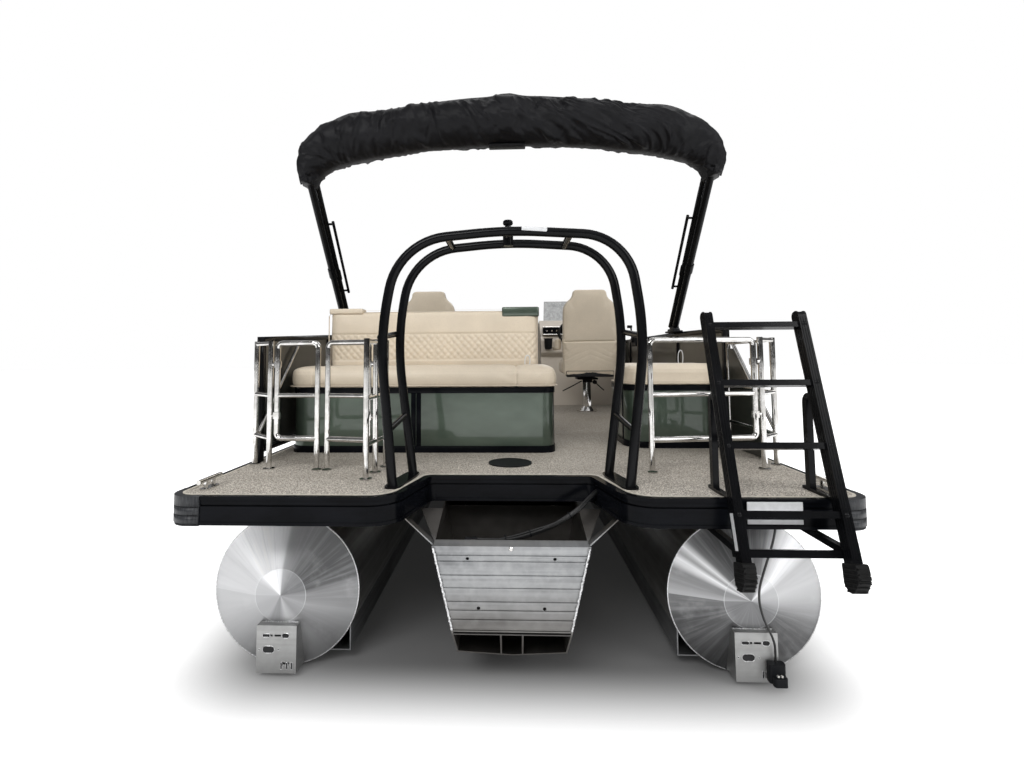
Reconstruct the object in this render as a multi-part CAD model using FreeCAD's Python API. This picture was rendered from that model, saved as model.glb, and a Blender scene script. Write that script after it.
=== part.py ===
import FreeCAD, Part
import math
import os
from FreeCAD import Placement, Rotation, Vector

# Pontoon boat, parked on its tubes. Millimetres: +X starboard, +Y forward, +Z up.
# It is laid out from the deck's aft edge (Y = 0), the centre line (X = 0) and the ground (Z = 0).
# At the end everything shifts along Y so that the origin is under the middle of the whole boat.

# Hull
beam = 2590.0
deck_length = 6500.0
tube_radius = 317.5
tube_spacing = 1950.0
tube_aft = 360.0
tube_straight = 5500.0
nose_length = 900.0
cap_depth = 68.0
strake_corner = 700.0
strake_height = 50.0
strake_sheet = 5.0
riser_height = 73.0
riser_width = 180.0
riser_sheet = 6.0
member_height = 75.0
member_width = 45.0
member_sheet = 5.0
member_pitch = 406.0
member_inset = 35.0
deck_thickness = 20.0

# Deck edge
bumper_depth = 25.0
bumper_height = 106.0
corner_cap_height = 90.0
corner_cap_reach = 130.0
aft_corner_radius = 60.0
bow_corner_radius = 380.0
notch_mouth = 430.0
notch_throat = 345.0
notch_depth = 350.0
notch_corner_radius = 110.0
hatch_radius = 105.0

# Motor pod
transom_angle = 11.5
transom_top = 612.0
transom_face = 350.0
transom_plate = 45.0
transom_aft = 50.0
pod_top_half = 297.0
pod_knee_half = 230.0
pod_floor_half = 217.0
pod_floor = 158.0
pod_keel = 140.0
pod_sheet = 6.0
pod_length = 1150.0
pod_mouth_half = 285.0
pod_bulkhead = 520.0
pod_bow_low = 560.0
pod_rake = 300.0
web_offset = 42.0
flange_width = 45.0
gusset_reach = 90.0
bolt_radius = 6.8
upper_bolt_spacing = 327.0
lower_bolt_spacing = 251.0
bolt_row_drop = 203.0
upper_bolt_below_top = 50.0
brace_width = 40.0
bracket_width = 168.0
bracket_front = 262.0

# Tow arch
arch_tube = 24.0
arch_height = 1026.0
arch_crown = 40.0
knob_radius = 32.0
knob_stem_radius = 17.0
knob_height = 66.0

# Rails and fences
post_radius = 12.7
rail_radius = 10.5
rail_top = 598.0
rail_middle = 341.0
rail_low = 143.0
gate_clearance = 9.0
running_gap = 0.3
knuckle_wall = 5.0
knuckle_height = 30.0
fence_inset = 14.0
fence_tube = 32.0
fence_top = 690.0
fence_low = 45.0
fence_aft_starboard = 1115.0
fence_aft_port = 640.0
fence_panel = 12.0
bow_fence_inset = 420.0
bow_gate_half = 360.0
door_clearance = 8.0

# Boarding ladder
ladder_lean = 16.8
ladder_left = 799.0
ladder_right = 1126.0
ladder_at_deck = -47.0
stringer_width = 32.0
stringer_depth = 50.0
stringer_sheet = 4.0
stringer_low = -190.0
stringer_high = 715.0
tread_pitch = 232.0
tread_depth = 34.0
tread_height = 22.0
ladder_travel = 700.0
guide_low = -180.0
guide_high = 385.0
loop_top = 370.0
loop_bar = 26.0
arm_reach = 58.0
fixed_step = -152.0
slide_clearance = 0.3

# Sun shade
bimini_pivot_y = 2000.0
bimini_pivot_rise = 47.0
bimini_inset = 78.0
bimini_top_inset = 150.0
bimini_tube = 32.0
pole_gap = 145.0
pivot_pin_radius = 6.0
boot_y = 1000.0
boot_end = 1497.0
boot_side = 1176.0

# Furniture
base_height = 350.0
base_wall = 18.0
cushion_thickness = 117.0
corner_share = 0.9  # the largest share of a cushion's half width that its corners may take
edge_share = 0.8    # the largest share of those corners that its top edge may take
seat_gap = 0.3
lid_rim = 40.0
chair_y = 3070.0
chair_x = 735.0
chair_seat_height = 330.0
chair_back = 85.0
chair_recline = 6.0
bench_clearance = 24.0
lounge_back_top = 820.0
bow_back_top = 790.0

deck_bottom = riser_height + member_height + 2 * tube_radius
deck_top = deck_bottom + deck_thickness
half_beam = beam / 2
deck_half = half_beam - bumper_depth
tube_x = tube_spacing / 2
first_member = 110.0
member_low = deck_bottom - member_height
fence_half = deck_half - fence_inset
fence_inside = fence_half - fence_tube / 2
bench_side = fence_inside - bench_clearance
bimini_half = half_beam - bimini_inset
bimini_top_half = half_beam - bimini_top_inset
bimini_pivot_z = fence_top + bimini_pivot_rise
bow_fence_y = deck_length - bow_fence_inset
pod_end = pod_length + transom_aft
pod_knee = transom_top - transom_face
pod_knee_aft = transom_aft + transom_face * math.sin(math.radians(transom_angle))
pod_aft_low = pod_knee_aft + (pod_knee - pod_keel) * math.tan(math.radians(transom_angle)) + 58
wall_rise = ((transom_aft + 50, transom_top), (notch_depth - 70, deck_top - bumper_height - 11))  # (y, z)
wall_step = notch_depth + bumper_depth + 8
nodes = {}


def box(x, y, z):
    """A block between two limits along each axis."""
    corner = Vector(min(x), min(y), min(z))
    return Part.makeBox(abs(x[1] - x[0]), abs(y[1] - y[0]), abs(z[1] - z[0]), corner)


def rod(start, end, radius):
    """A round bar between two points."""
    return Part.makeCylinder(radius, (end - start).Length, start, end - start)


def wire(corners, closed=True):
    """Straight runs through corners of (point, radius), each rounded by an arc of its radius."""
    count = len(corners)
    spans = []
    for i, (corner, radius) in enumerate(corners):
        if radius == 0 or (not closed and i in (0, count - 1)):
            spans.append((corner, None, corner))
            continue
        back = (corners[i - 1][0] - corner).normalize()
        ahead = (corners[(i + 1) % count][0] - corner).normalize()
        half = back.getAngle(ahead) / 2
        reach = radius / math.tan(half)
        inward = (back + ahead).normalize() * (radius / math.sin(half) - radius)
        spans.append((corner + back * reach, corner + inward, corner + ahead * reach))
    edges = []
    for i, (start, middle, end) in enumerate(spans):
        if middle is not None:
            edges.append(Part.Arc(start, middle, end).toShape())
        if closed or i < count - 1:
            following = spans[(i + 1) % count][0]
            if (following - end).Length > 0.001:
                edges.append(Part.LineSegment(end, following).toShape())
    return Part.Wire(edges)


def pipe(corners, radius):
    """A round tube along straight runs joined by arcs."""
    path = wire(corners, closed=False)
    start = corners[0][0]
    ring = Part.Wire(Part.makeCircle(radius, start, corners[1][0] - start))
    return path.makePipeShell([ring], True, True)


def slab(corners, z):
    """An upright prism on a plan of (x, y, radius) corners."""
    plan = wire([(Vector(x, y, min(z)), radius) for x, y, radius in corners])
    return Part.Face(plan).extrude(Vector(0, 0, abs(z[1] - z[0])))


def profile_y(corners, y):
    """A prism along Y on a section of (x, z) corners."""
    section = Part.makePolygon([Vector(x, min(y), z) for x, z in corners + corners[:1]])
    return Part.Face(section).extrude(Vector(0, abs(y[1] - y[0]), 0))


def profile_x(corners, x):
    """A prism along X on a side view of (y, z, radius) corners."""
    view = wire([(Vector(min(x), y, z), radius) for y, z, radius in corners])
    return Part.Face(view).extrude(Vector(abs(x[1] - x[0]), 0, 0))


def fuse(shapes):
    """One solid from touching shapes."""
    shapes = list(shapes)
    return shapes[0].fuse(shapes[1:]).removeSplitter()


def group(shapes):
    """Separate solids kept in one node."""
    return Part.makeCompound([solid for shape in shapes for solid in shape.Solids])


def mirrored(shape):
    """The same piece on the other side."""
    return shape.mirror(Vector(0, 0, 0), Vector(1, 0, 0))


def rounded(shape, radius, wanted):
    """Fillets on the edges that the test picks."""
    return shape.makeFillet(radius, [edge for edge in shape.Edges if wanted(edge)])


def level_edge(z):
    """A test for edges that lie at one height."""
    def test(edge):
        limits = edge.BoundBox
        return abs(limits.ZMin - z) < 0.01 and abs(limits.ZMax - z) < 0.01
    return test


def block_plan(x, y, radius):
    """The plan of a block with rounded upright corners."""
    return [(x[0], y[0], radius), (x[1], y[0], radius), (x[1], y[1], radius), (x[0], y[1], radius)]


# Hull: two tubes with shallow end caps and upswept noses
def tube(x):
    end = tube_aft + tube_straight
    barrel = Part.makeCylinder(tube_radius, tube_straight, Vector(x, tube_aft, tube_radius), Vector(0, 1, 0))
    cap = Part.makeCone(0.34 * tube_radius, tube_radius, cap_depth,
                        Vector(x, tube_aft - cap_depth, tube_radius), Vector(0, 1, 0))
    nose_sections = [(0.0, 1.0), (0.38, 0.92), (0.72, 0.66), (1.0, 0.26)]  # (share of length, share of radius)
    rings = []
    for along, share in nose_sections:
        radius = share * tube_radius
        centre = Vector(x, end + along * nose_length, 2 * tube_radius - radius)
        rings.append(Part.Wire(Part.makeCircle(radius, centre, Vector(0, 1, 0))))
    nose = Part.makeLoft(rings, True, True)
    return barrel.fuse([cap, nose])


def inside_tube(x):
    return Part.makeCylinder(tube_radius, 4 * deck_length, Vector(x, -deck_length, tube_radius), Vector(0, 1, 0))


def strake():
    """The folded lifting sheet low on the inboard side of the starboard tube."""
    top = tube_radius
    outer = [(strake_corner, strake_height), (strake_corner, top), (tube_x, top), (tube_x, strake_height)]
    inner = [(x + strake_sheet, z + strake_sheet) if x == strake_corner and z == strake_height
             else (x + strake_sheet, z) if x == strake_corner
             else (x, z + strake_sheet) if z == strake_height else (x, z) for x, z in outer]
    span = (tube_aft + 25, tube_aft + tube_straight)
    sheet = profile_y(outer, span).cut(profile_y(inner, span))
    sheet = sheet.cut(inside_tube(tube_x))
    return max(sheet.Solids, key=lambda solid: solid.BoundBox.DiagonalLength)


def riser():
    """The channel on top of a tube that carries the cross members, with a fin at its aft end."""
    half = riser_width / 2
    top = 2 * tube_radius + riser_height
    low = 2 * tube_radius - 40
    span = (tube_aft + 20, tube_aft + tube_straight + 200)
    shell = box((tube_x - half, tube_x + half), span, (low, top)).cut(
        box((tube_x - half + riser_sheet, tube_x + half - riser_sheet), span, (low, top - riser_sheet)))
    fin = profile_x([(tube_aft, 2 * tube_radius - 40, 0), (span[0] + 60, 2 * tube_radius - 40, 0),
                     (span[0] + 60, top - riser_sheet, 0), (span[0], top - riser_sheet, 0)],
                    (tube_x - riser_sheet / 2, tube_x + riser_sheet / 2))
    return shell.fuse(fin).cut(inside_tube(tube_x)).removeSplitter()


def deck_corners(grow):
    """The deck's plan, grown outwards; rows are (x, y, radius)."""
    side = deck_half + grow
    aft = bumper_depth - grow
    bow = deck_length - bumper_depth + grow
    mouth = notch_mouth + bumper_depth - grow
    throat = notch_throat + bumper_depth - grow
    step = notch_depth + bumper_depth - grow
    return [(-side, aft, aft_corner_radius + grow), (-mouth, aft, notch_corner_radius + grow),
            (-throat, step, 40 - 0.5 * grow), (throat, step, 40 - 0.5 * grow),
            (mouth, aft, notch_corner_radius + grow), (side, aft, aft_corner_radius + grow),
            (side, bow, bow_corner_radius + grow), (-side, bow, bow_corner_radius + grow)]


def deck_block(grow, z):
    return slab(deck_corners(grow), z)


def cross_members():
    """Open channels across the boat, cut back around the notch."""
    room = box((-pod_top_half - 60, pod_top_half + 60), (-50, pod_length + 40), (deck_bottom - 200, deck_bottom))
    inner = deck_block(-member_inset, (deck_bottom - member_height, deck_bottom))
    members = []
    count = int((deck_length - 400) / member_pitch) + 1
    for i in range(count):
        aft = first_member + i * member_pitch
        bar = box((-half_beam, half_beam), (aft, aft + member_width), (member_low, deck_bottom))
        hollow = box((-half_beam, half_beam), (aft + member_sheet, aft + member_width),
                     (member_low + member_sheet, deck_bottom - member_sheet))
        bar = bar.cut(hollow).common(inner)
        if aft < notch_depth + 2 * bumper_depth:
            bar = bar.cut(room)
        members.append(bar)
    return group(members)


def bumper_band(proud, drop):
    """A ring around the deck's edge between two drops below the deck's top."""
    z = (deck_top - drop[1], deck_top - drop[0])
    return deck_block(proud, z).cut(deck_block(0, z))


def corner_zone(z):
    """The two blocks that the corner caps take out of the bumper."""
    reach = corner_cap_reach
    zones = [box((side * (half_beam - reach), side * (half_beam + 50)), (-50, reach), z) for side in (-1, 1)]
    return zones[0].fuse(zones[1])


def edge_bumper():
    steps = [(0, 14, 1.0), (14, 30, 0.8), (30, 37, 0.5), (37, 94, 0.86), (94, bumper_height, 1.0)]
    bands = [bumper_band(share * bumper_depth, (low, high)) for low, high, share in steps]
    whole = fuse(bands)
    return whole.cut(corner_zone((deck_top - 200, deck_top + 50)))


def corner_caps():
    steps = [(0, 30, 1.14), (30, 34, 0.9), (34, 56, 1.14), (56, 60, 0.9), (60, 82, 1.14), (82, 86, 0.9),
             (86, corner_cap_height, 1.0)]
    bands = [bumper_band(share * bumper_depth, (low, high)) for low, high, share in steps]
    return group([fuse(bands).common(corner_zone((deck_top - 200, deck_top + 50)))])


# Motor pod: an open-topped sheet box with a ribbed transom plate
def pod_section(inset):
    """The pod's cross section, inset by a sheet; rows are (x, z)."""
    half = [(pod_floor_half - inset, pod_floor + inset), (pod_knee_half - inset, pod_knee),
            (pod_top_half - inset, transom_top), (pod_mouth_half - inset, member_low)]
    return [(0, pod_keel + inset)] + half + [(-x, z) for x, z in reversed(half)]


def transom_slab(y, z):
    """A slab across the pod that leans with the transom; y and z are measured in its own plane."""
    block = box((-half_beam, half_beam), y, z)
    return block.copy().rotated(Vector(0, 0, 0), Vector(1, 0, 0), transom_angle).translated(
        Vector(0, transom_aft, transom_top))


def bolt_place(drop):
    """Where a bolt row crosses the transom's aft face."""
    lean = math.radians(transom_angle)
    return Vector(0, transom_aft + drop * math.sin(lean), transom_top - drop * math.cos(lean))


def bolt_axis():
    lean = math.radians(transom_angle)
    return Vector(0, -math.cos(lean), -math.sin(lean))


def plate(corners, sheet):
    """A flat plate on three or more corners that lie in one plane, thickened downwards."""
    outline = Part.makePolygon([Vector(*corner) for corner in corners + corners[:1]])
    return Part.Face(outline).extrude(Vector(0, 0, -sheet))


def pod_brace():
    """The starboard gusset beside the pod's mouth and the flat bar up to the first cross member."""
    inner = pod_mouth_half - pod_sheet / 2
    gusset = plate([(pod_top_half - pod_sheet / 2, wall_rise[0][0], transom_top),
                    (inner, *wall_rise[1]), (inner + gusset_reach, *wall_rise[1])], pod_sheet)
    x, y, z = pod_top_half - pod_sheet / 2, transom_aft + 20, transom_top
    pad_x, pad_y = notch_mouth + bumper_depth - 5, first_member + 2 * member_width
    bar = plate([(x, y, z), (x, y + brace_width, z), (pad_x, pad_y, member_low), (pad_x, pad_y - brace_width, member_low)],
                pod_sheet)
    pad = box((pad_x - 10, pad_x + 60), (first_member, pad_y), (member_low - pod_sheet, member_low))
    return [gusset, bar, pad]


def pod():
    side_view = profile_x([(transom_aft, transom_top, 0), (wall_rise[0][0], transom_top, 0), (*wall_rise[1], 0),
                           (wall_step, wall_rise[1][1], 0), (wall_step, member_low, 0), (pod_end, member_low, 0),
                           (pod_end, pod_bow_low, 0), (pod_end - pod_rake, pod_keel, 0), (pod_aft_low, pod_keel, 0),
                           (pod_knee_aft, pod_knee, 0)], (-half_beam, half_beam))
    inner = profile_y(pod_section(pod_sheet), (0, pod_end))
    shell = profile_y(pod_section(0), (0, pod_end)).common(side_view).cut(inner)
    clear = inner.common(side_view)
    bow_plate = profile_x([(pod_end, member_low, 0), (pod_end - pod_sheet, member_low, 0),
                           (pod_end - pod_sheet, pod_bow_low + 2, 0), (pod_end - pod_rake - pod_sheet, pod_keel, 0),
                           (pod_end - pod_rake + 2, pod_keel, 0), (pod_end, pod_bow_low, 0)],
                          (-half_beam, half_beam)).common(clear)
    shelf = box((-half_beam, half_beam), (pod_knee_aft, pod_bulkhead), (pod_knee - pod_sheet, pod_knee)).common(clear)
    bulkhead = box((-half_beam, half_beam), (pod_bulkhead, pod_bulkhead + pod_sheet),
                   (pod_keel, transom_top + 20)).common(clear)
    webs = [box((x - pod_sheet / 2, x + pod_sheet / 2), (pod_knee_aft, pod_bulkhead), (pod_keel, pod_knee)).common(clear)
            for x in (-web_offset, web_offset)]
    flanges = [box((side * (pod_mouth_half - pod_sheet), side * (pod_mouth_half + flange_width)),
                   (wall_step + 30, pod_end), (member_low - pod_sheet, member_low)) for side in (-1, 1)]
    braces = pod_brace()
    return fuse([shell, bow_plate, shelf, bulkhead] + webs + flanges + braces + [mirrored(piece) for piece in braces])


def transom():
    """The ribbed plate that the outboard bolts to."""
    end = pod_length
    inner = profile_y(pod_section(pod_sheet), (0, end))
    plate = transom_slab((3, transom_plate), (-transom_face, 0))
    planks = [(0, 5), (38, 8), (62, 8), (118, 12), (170, 8), (226, 12), (262, 8), (300, 8), (transom_face - 5, 5)]
    ribs = [transom_slab((0, 3), (-drop - width, -drop)) for drop, width in planks]
    plate = plate.fuse(ribs).common(inner)
    rows = [(upper_bolt_spacing, upper_bolt_below_top), (lower_bolt_spacing, upper_bolt_below_top + bolt_row_drop)]
    for spacing, drop in rows:
        for side in (-1, 1):
            start = bolt_place(drop) + Vector(side * spacing / 2, 0, 0) + bolt_axis() * 50
            plate = plate.cut(Part.makeCylinder(bolt_radius, 200, start, bolt_axis() * -1))
    return plate


# Sonar brackets low on the tubes' end caps
def transducer_bracket(x):
    height, sheet, low = 190.0, 4.0, 20.0
    front = bracket_front
    half = bracket_width / 2
    face = box((x - half, x + half), (front, front + sheet), (low, low + height))
    for drop, side in ((40, -30), (40, 5), (150, 40)):
        face = face.cut(box((x + side - 14, x + side + 14), (front - 1, front + sheet + 1),
                            (low + height - drop - 4, low + height - drop + 4)))
    cheeks = [box((x + side * half, x + side * (half - sheet)), (front, tube_aft + 40), (low, low + height))
              for side in (-1, 1)]
    lid = box((x - half, x + half), (front, tube_aft), (low + height - sheet, low + height))
    whole = fuse([face, lid] + cheeks)
    cone = Part.makeCone(0.34 * tube_radius, tube_radius, cap_depth,
                         Vector(x, tube_aft - cap_depth, tube_radius), Vector(0, 1, 0))
    return whole.cut(inside_tube(x).common(box((-4000, 4000), (tube_aft, 4000), (0, 4000)))).cut(cone)


def sonar_transducer():
    """The black sonar head on the starboard bracket's face."""
    x, y, z = sonar_head
    body = slab(block_plan((x - 32, x + 32), (y - 34, y), 10), (z - 40, z + 30))
    nose = slab(block_plan((x - 26, x + 26), (y - 60, y - 30), 10), (z - 40, z - 8))
    return fuse([body, nose])


def sonar_cable():
    """The sonar head's cable, hanging from the first cross member."""
    x, y, z = sonar_head
    route = [(1010, 132, member_low), (1008, 134, 640), (976, 165, 500), (955, 190, 391),
             (978, 200, 290), (1024, 212, 205), (x, y - 16, 128), (x, y - 16, z + 30)]
    return bent_cord([Vector(*point) for point in route], sonar_cable_radius)


def bent_cord(points, cord_radius):
    """A cord through points, each bend as wide as its shorter neighbouring run allows."""
    corners = [(points[0], 0)]
    for before, corner, after in zip(points, points[1:], points[2:]):
        turn = (corner - before).getAngle(after - corner)
        reach = 0.45 * min((corner - before).Length, (after - corner).Length)
        corners.append((corner, reach / math.tan(turn / 2)))
    corners.append((points[-1], 0))
    return pipe(corners, cord_radius)


rigging_radius = 13.0
rigging_clearance = 0.3
rigging_route = [(notch_throat + 28, 330, deck_top - 52), (330, 262, 742), (262, 226, 690), (170, 222, 636),
                 (92, 214, 612), (20, 196, 596), (-60, 190, 590), (-150, 178, 588)]


def rigging_cable():
    """The engine's wiring bundle from the hole in the notch's starboard side down behind the transom."""
    return bent_cord([Vector(*point) for point in rigging_route], rigging_radius)


def rigging_hole():
    """What the wiring bundle takes out of the bumper."""
    return bent_cord([Vector(*point) for point in rigging_route[:3]], rigging_radius + rigging_clearance)


sonar_cable_radius = 4.5
sonar_head = (1040.0, bracket_front, 75.0)


# Tow arch: two hoops joined by struts on two foot plates
def hoop(y, foot, side):
    crown = deck_top + arch_height
    right = [(foot, deck_top + 6, 0), (side, deck_top + 600, 1200), (side - 72, crown - arch_crown, 260)]
    corners = right + [(0, crown, 1700)] + [(-x, z, radius) for x, z, radius in reversed(right)]
    return pipe([(Vector(x, y, z), radius) for x, z, radius in corners], arch_tube)


aft_hoop_y = 147.0
fore_hoop_y = 376.0


def tow_arch():
    hoops = [hoop(aft_hoop_y, 468, 521), hoop(fore_hoop_y, 428, 502)]
    struts = []
    for side in (-1, 1):
        for low, near, high, far in ((218, 490, 264, 459), (596, 520, 620, 500)):
            struts.append(rod(Vector(side * near, aft_hoop_y, deck_top + low),
                              Vector(side * far, fore_hoop_y, deck_top + high), 10))
    for x, sink in ((-250, 20), (0, 6), (250, 20)):
        height = deck_top + arch_height - sink
        struts.append(rod(Vector(x, aft_hoop_y, height), Vector(x, fore_hoop_y, height), 16))
    plates = []
    for side in (-1, 1):
        plates.append(slab([(side * 402, 340, 25), (side * 402, 404, 25), (side * 454, 404, 25),
                            (side * 497, 200, 60), (side * 497, 118, 25), (side * 436, 118, 25)][::side],
                           (deck_top, deck_top + 8)))
    return fuse(hoops + struts + plates)


def tow_knob():
    middle = (aft_hoop_y + fore_hoop_y) / 2
    low = deck_top + arch_height - 6 + 16
    rings = [(knob_radius, 0, 8), (knob_stem_radius, 8, knob_height - 12), (knob_radius, knob_height - 12, knob_height)]
    pieces = [Part.makeCylinder(radius, high - low_z, Vector(0, middle, low + low_z)) for radius, low_z, high in rings]
    return fuse(pieces)


# Deck fittings
def deck_plate():
    flange = Part.makeCylinder(hatch_radius, 5, Vector(0, 627, deck_top))
    neck = Part.makeCylinder(hatch_radius - 12, deck_thickness, Vector(0, 627, deck_bottom))
    return flange.fuse(neck).removeSplitter()


cleat_x = deck_half - 70
cleat_y = (130, deck_length - 600)


def cleat(x, y):
    z = deck_top
    foot = slab(block_plan((x - 18, x + 18), (y - 50, y + 50), 16), (z, z + 6))
    legs = [rod(Vector(x, y + s * 26, z + 5), Vector(x, y + s * 26, z + 34), 8) for s in (-1, 1)]
    horn = rod(Vector(x, y - 78, z + 38), Vector(x, y + 78, z + 38), 9)
    return fuse([foot, horn] + legs)


def deck():
    whole = deck_block(0, (deck_bottom, deck_top))
    hole = Part.makeCylinder(hatch_radius - 12, 100, Vector(0, 627, deck_bottom - 10))
    return whole.cut(hole)


# Stainless rails; posts are (x, y)
def post(x, y, top=rail_top, low=0.0):
    return rod(Vector(x, y, deck_top + low), Vector(x, y, deck_top + top), post_radius)


def flange(x, y):
    return Part.makeCylinder(26, 5, Vector(x, y, deck_top))


def rails(start, end, heights):
    return [rod(Vector(start[0], start[1], deck_top + z), Vector(end[0], end[1], deck_top + z), rail_radius)
            for z in heights]


all_heights = (rail_low, rail_middle, rail_top - post_radius)
port_posts = {"outer": (22.0 - deck_half, 594.0), "hinge": (145.0 - deck_half, 481.0), "wing_aft": (-612.0, 279.0),
              "wing_middle": (-606.0, 411.0), "wing_front": (-587.0, 531.0)}
starboard_posts = {"outer": (deck_half - 16.0, 600.0), "hinge": (deck_half - 120.0, 500.0)}
gate_leaves = {"port_outer": (port_posts["hinge"], (-892.0, 462.0)),  # (hinge post, free upright)
               "port_inner": (port_posts["wing_middle"], (-842.0, 456.0)),
               "starboard": (starboard_posts["hinge"], (628.0, 423.0))}
catch_radius = 22.0
leaf_bend = 24.0
stay_radius = 9.5
rail_end_gap = 2.0
stay_top_y = 1045.0
quarter_length = 410.0
quarter_gap = 14.0


def side_run(outer, front, stay_x):
    """Rails from the outer post forward to the fence, and the slanting stay beside them."""
    low = Vector(stay_x, outer[1], deck_top + rail_low + 10)
    high = Vector(stay_x, stay_top_y, deck_top + rail_top - post_radius)
    return rails(outer, front, all_heights) + [rod(low, high, stay_radius)]


def hinge_axis(leaf_name):
    """The plan point that a stern gate's upright turns about, beside its hinge post."""
    hinge, far = gate_leaves[leaf_name]
    reach = Vector(far[0] - hinge[0], far[1] - hinge[1], 0).normalize() * (2 * post_radius + gate_clearance)
    return hinge[0] + reach.x, hinge[1] + reach.y


def knuckles(leaf_name):
    """Two eyes on the hinge post that hold the gate's upright."""
    hinge = gate_leaves[leaf_name][0]
    axis = hinge_axis(leaf_name)
    pieces = []
    for height in (rail_low + 90, rail_middle + 130):
        low = Vector(axis[0], axis[1], deck_top + height)
        eye = Part.makeCylinder(post_radius + knuckle_wall, knuckle_height, low)
        link = rod(Vector(hinge[0], hinge[1], low.z + knuckle_height / 2), low + Vector(0, 0, knuckle_height / 2), 9)
        bore = Part.makeCylinder(post_radius + running_gap, knuckle_height + 2, low - Vector(0, 0, 1))
        pieces.append(eye.fuse(link).cut(bore))
    return pieces


def stern_rail_port():
    p = port_posts
    wall = [post(*p["outer"]), post(*p["hinge"]), flange(*p["outer"]), flange(*p["hinge"])]
    wall += rails(p["outer"], p["hinge"], all_heights) + knuckles("port_outer")
    front = (-fence_half, fence_aft_port - rail_end_gap)
    wall += side_run(p["outer"], front, stay_radius - fence_inside)
    wing = [post(*p[name]) for name in ("wing_aft", "wing_middle", "wing_front")]
    wing += [flange(*p[name]) for name in ("wing_aft", "wing_middle", "wing_front")]
    wing += rails(p["wing_aft"], p["wing_middle"], all_heights) + rails(p["wing_middle"], p["wing_front"], all_heights)
    wing += knuckles("port_inner")
    catches = [Part.makeCylinder(catch_radius, 5, Vector(*gate_leaves[name][1], deck_top))
               for name in ("port_outer", "port_inner")]
    return group([fuse(wall), fuse(wing)] + catches)


def stern_rail_starboard():
    p = starboard_posts
    front = (fence_half, fence_aft_starboard - post_radius)
    wall = [post(*p["outer"]), post(*p["hinge"]), post(*front), flange(*p["outer"]), flange(*p["hinge"])]
    wall += rails(p["outer"], p["hinge"], all_heights) + side_run(p["outer"], front, fence_half) + knuckles("starboard")
    catch = Part.makeCylinder(catch_radius, 5, Vector(*gate_leaves["starboard"][1], deck_top))
    return group([fuse(wall), catch])


def leaf(leaf_name):
    """A gate leaf: one bent tube around it and a middle rail; its short upright turns in the knuckles."""
    far = gate_leaves[leaf_name][1]
    near = hinge_axis(leaf_name)
    low = deck_top + rail_low
    high = deck_top + rail_top - post_radius
    corners = [((*far, deck_top + 12), 0), ((*far, high), leaf_bend), ((*near, high), leaf_bend),
               ((*near, low), leaf_bend), ((*far, low), 0)]
    loop = pipe([(Vector(*point), radius) for point, radius in corners], post_radius)
    return fuse([loop] + rails(near, far, (rail_middle,)))


def quarter_panel():
    """The raked panel between the starboard fence and its stay."""
    z = deck_top
    slope = (rail_top - rail_low) / (stay_top_y - starboard_posts["outer"][1])
    tip = fence_aft_starboard - quarter_length
    tip_z = z + rail_low + slope * (tip - starboard_posts["outer"][1]) - quarter_gap
    return profile_x([(tip, z + 5, 0), (fence_aft_starboard - 2 * post_radius, z + 5, 0),
                      (fence_aft_starboard - 2 * post_radius, z + rail_top - 2 * post_radius - 10, 0),
                      (stay_top_y - quarter_gap, z + rail_top - 2 * post_radius - 10, 0), (tip, tip_z, 0)],
                     (fence_half - fence_panel / 2, fence_half + fence_panel / 2))


# Fence sections: a tube frame with a thin panel
def fence_section(start, end, splits, panel_only=False, low=fence_low):
    """A framed run between two plan points, with posts at the given shares of its length."""
    reach = Vector(end[0] - start[0], end[1] - start[1], 0)
    length = reach.Length
    half = fence_tube / 2
    z = (deck_top + low, deck_top + fence_top)
    opening = (z[0] + fence_tube, z[1] - fence_tube)
    edges = [0.0] + [share * length for share in splits] + [length]
    frame = box((0, length), (-half, half), z)
    panels = []
    for i in range(len(edges) - 1):
        left = edges[i] + (fence_tube if i == 0 else half)
        right = edges[i + 1] - (fence_tube if i == len(edges) - 2 else half)
        frame = frame.cut(box((left, right), (-half, half), opening))
        panels.append(box((left, right), (-fence_panel / 2, fence_panel / 2), opening))
    for share in [0.0] + list(splits) + [1.0]:
        x = min(max(share * length, half), length - half)
        if low == fence_low:
            frame = frame.fuse(box((x - half, x + half), (-half, half), (deck_top, z[0])))
    turn = math.degrees(math.atan2(reach.y, reach.x))
    place = Placement(Vector(start[0], start[1], 0), Rotation(Vector(0, 0, 1), turn))
    shapes = panels if panel_only else [frame.removeSplitter()]
    placed = [shape.copy() for shape in shapes]
    for shape in placed:
        shape.Placement = place
    return placed


def barrel_hinges(axis, gate_way, fence_way):
    """Barrels at one plan axis: lower halves on the fence, upper halves on the gate."""
    fixed, moving = [], []
    for height in (150.0, 520.0):
        z = deck_top + height
        for pieces, low, way in ((fixed, z, fence_way), (moving, z + 30.5, gate_way)):
            barrel = Part.makeCylinder(hinge_radius, 30, Vector(axis[0], axis[1], low))
            ends = sorted((axis[0], axis[0] + way[0])), sorted((axis[1], axis[1] + way[1]))
            pieces.append(barrel.fuse(box(ends[0], ends[1], (low, low + 30))))
    return fixed, moving


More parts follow.
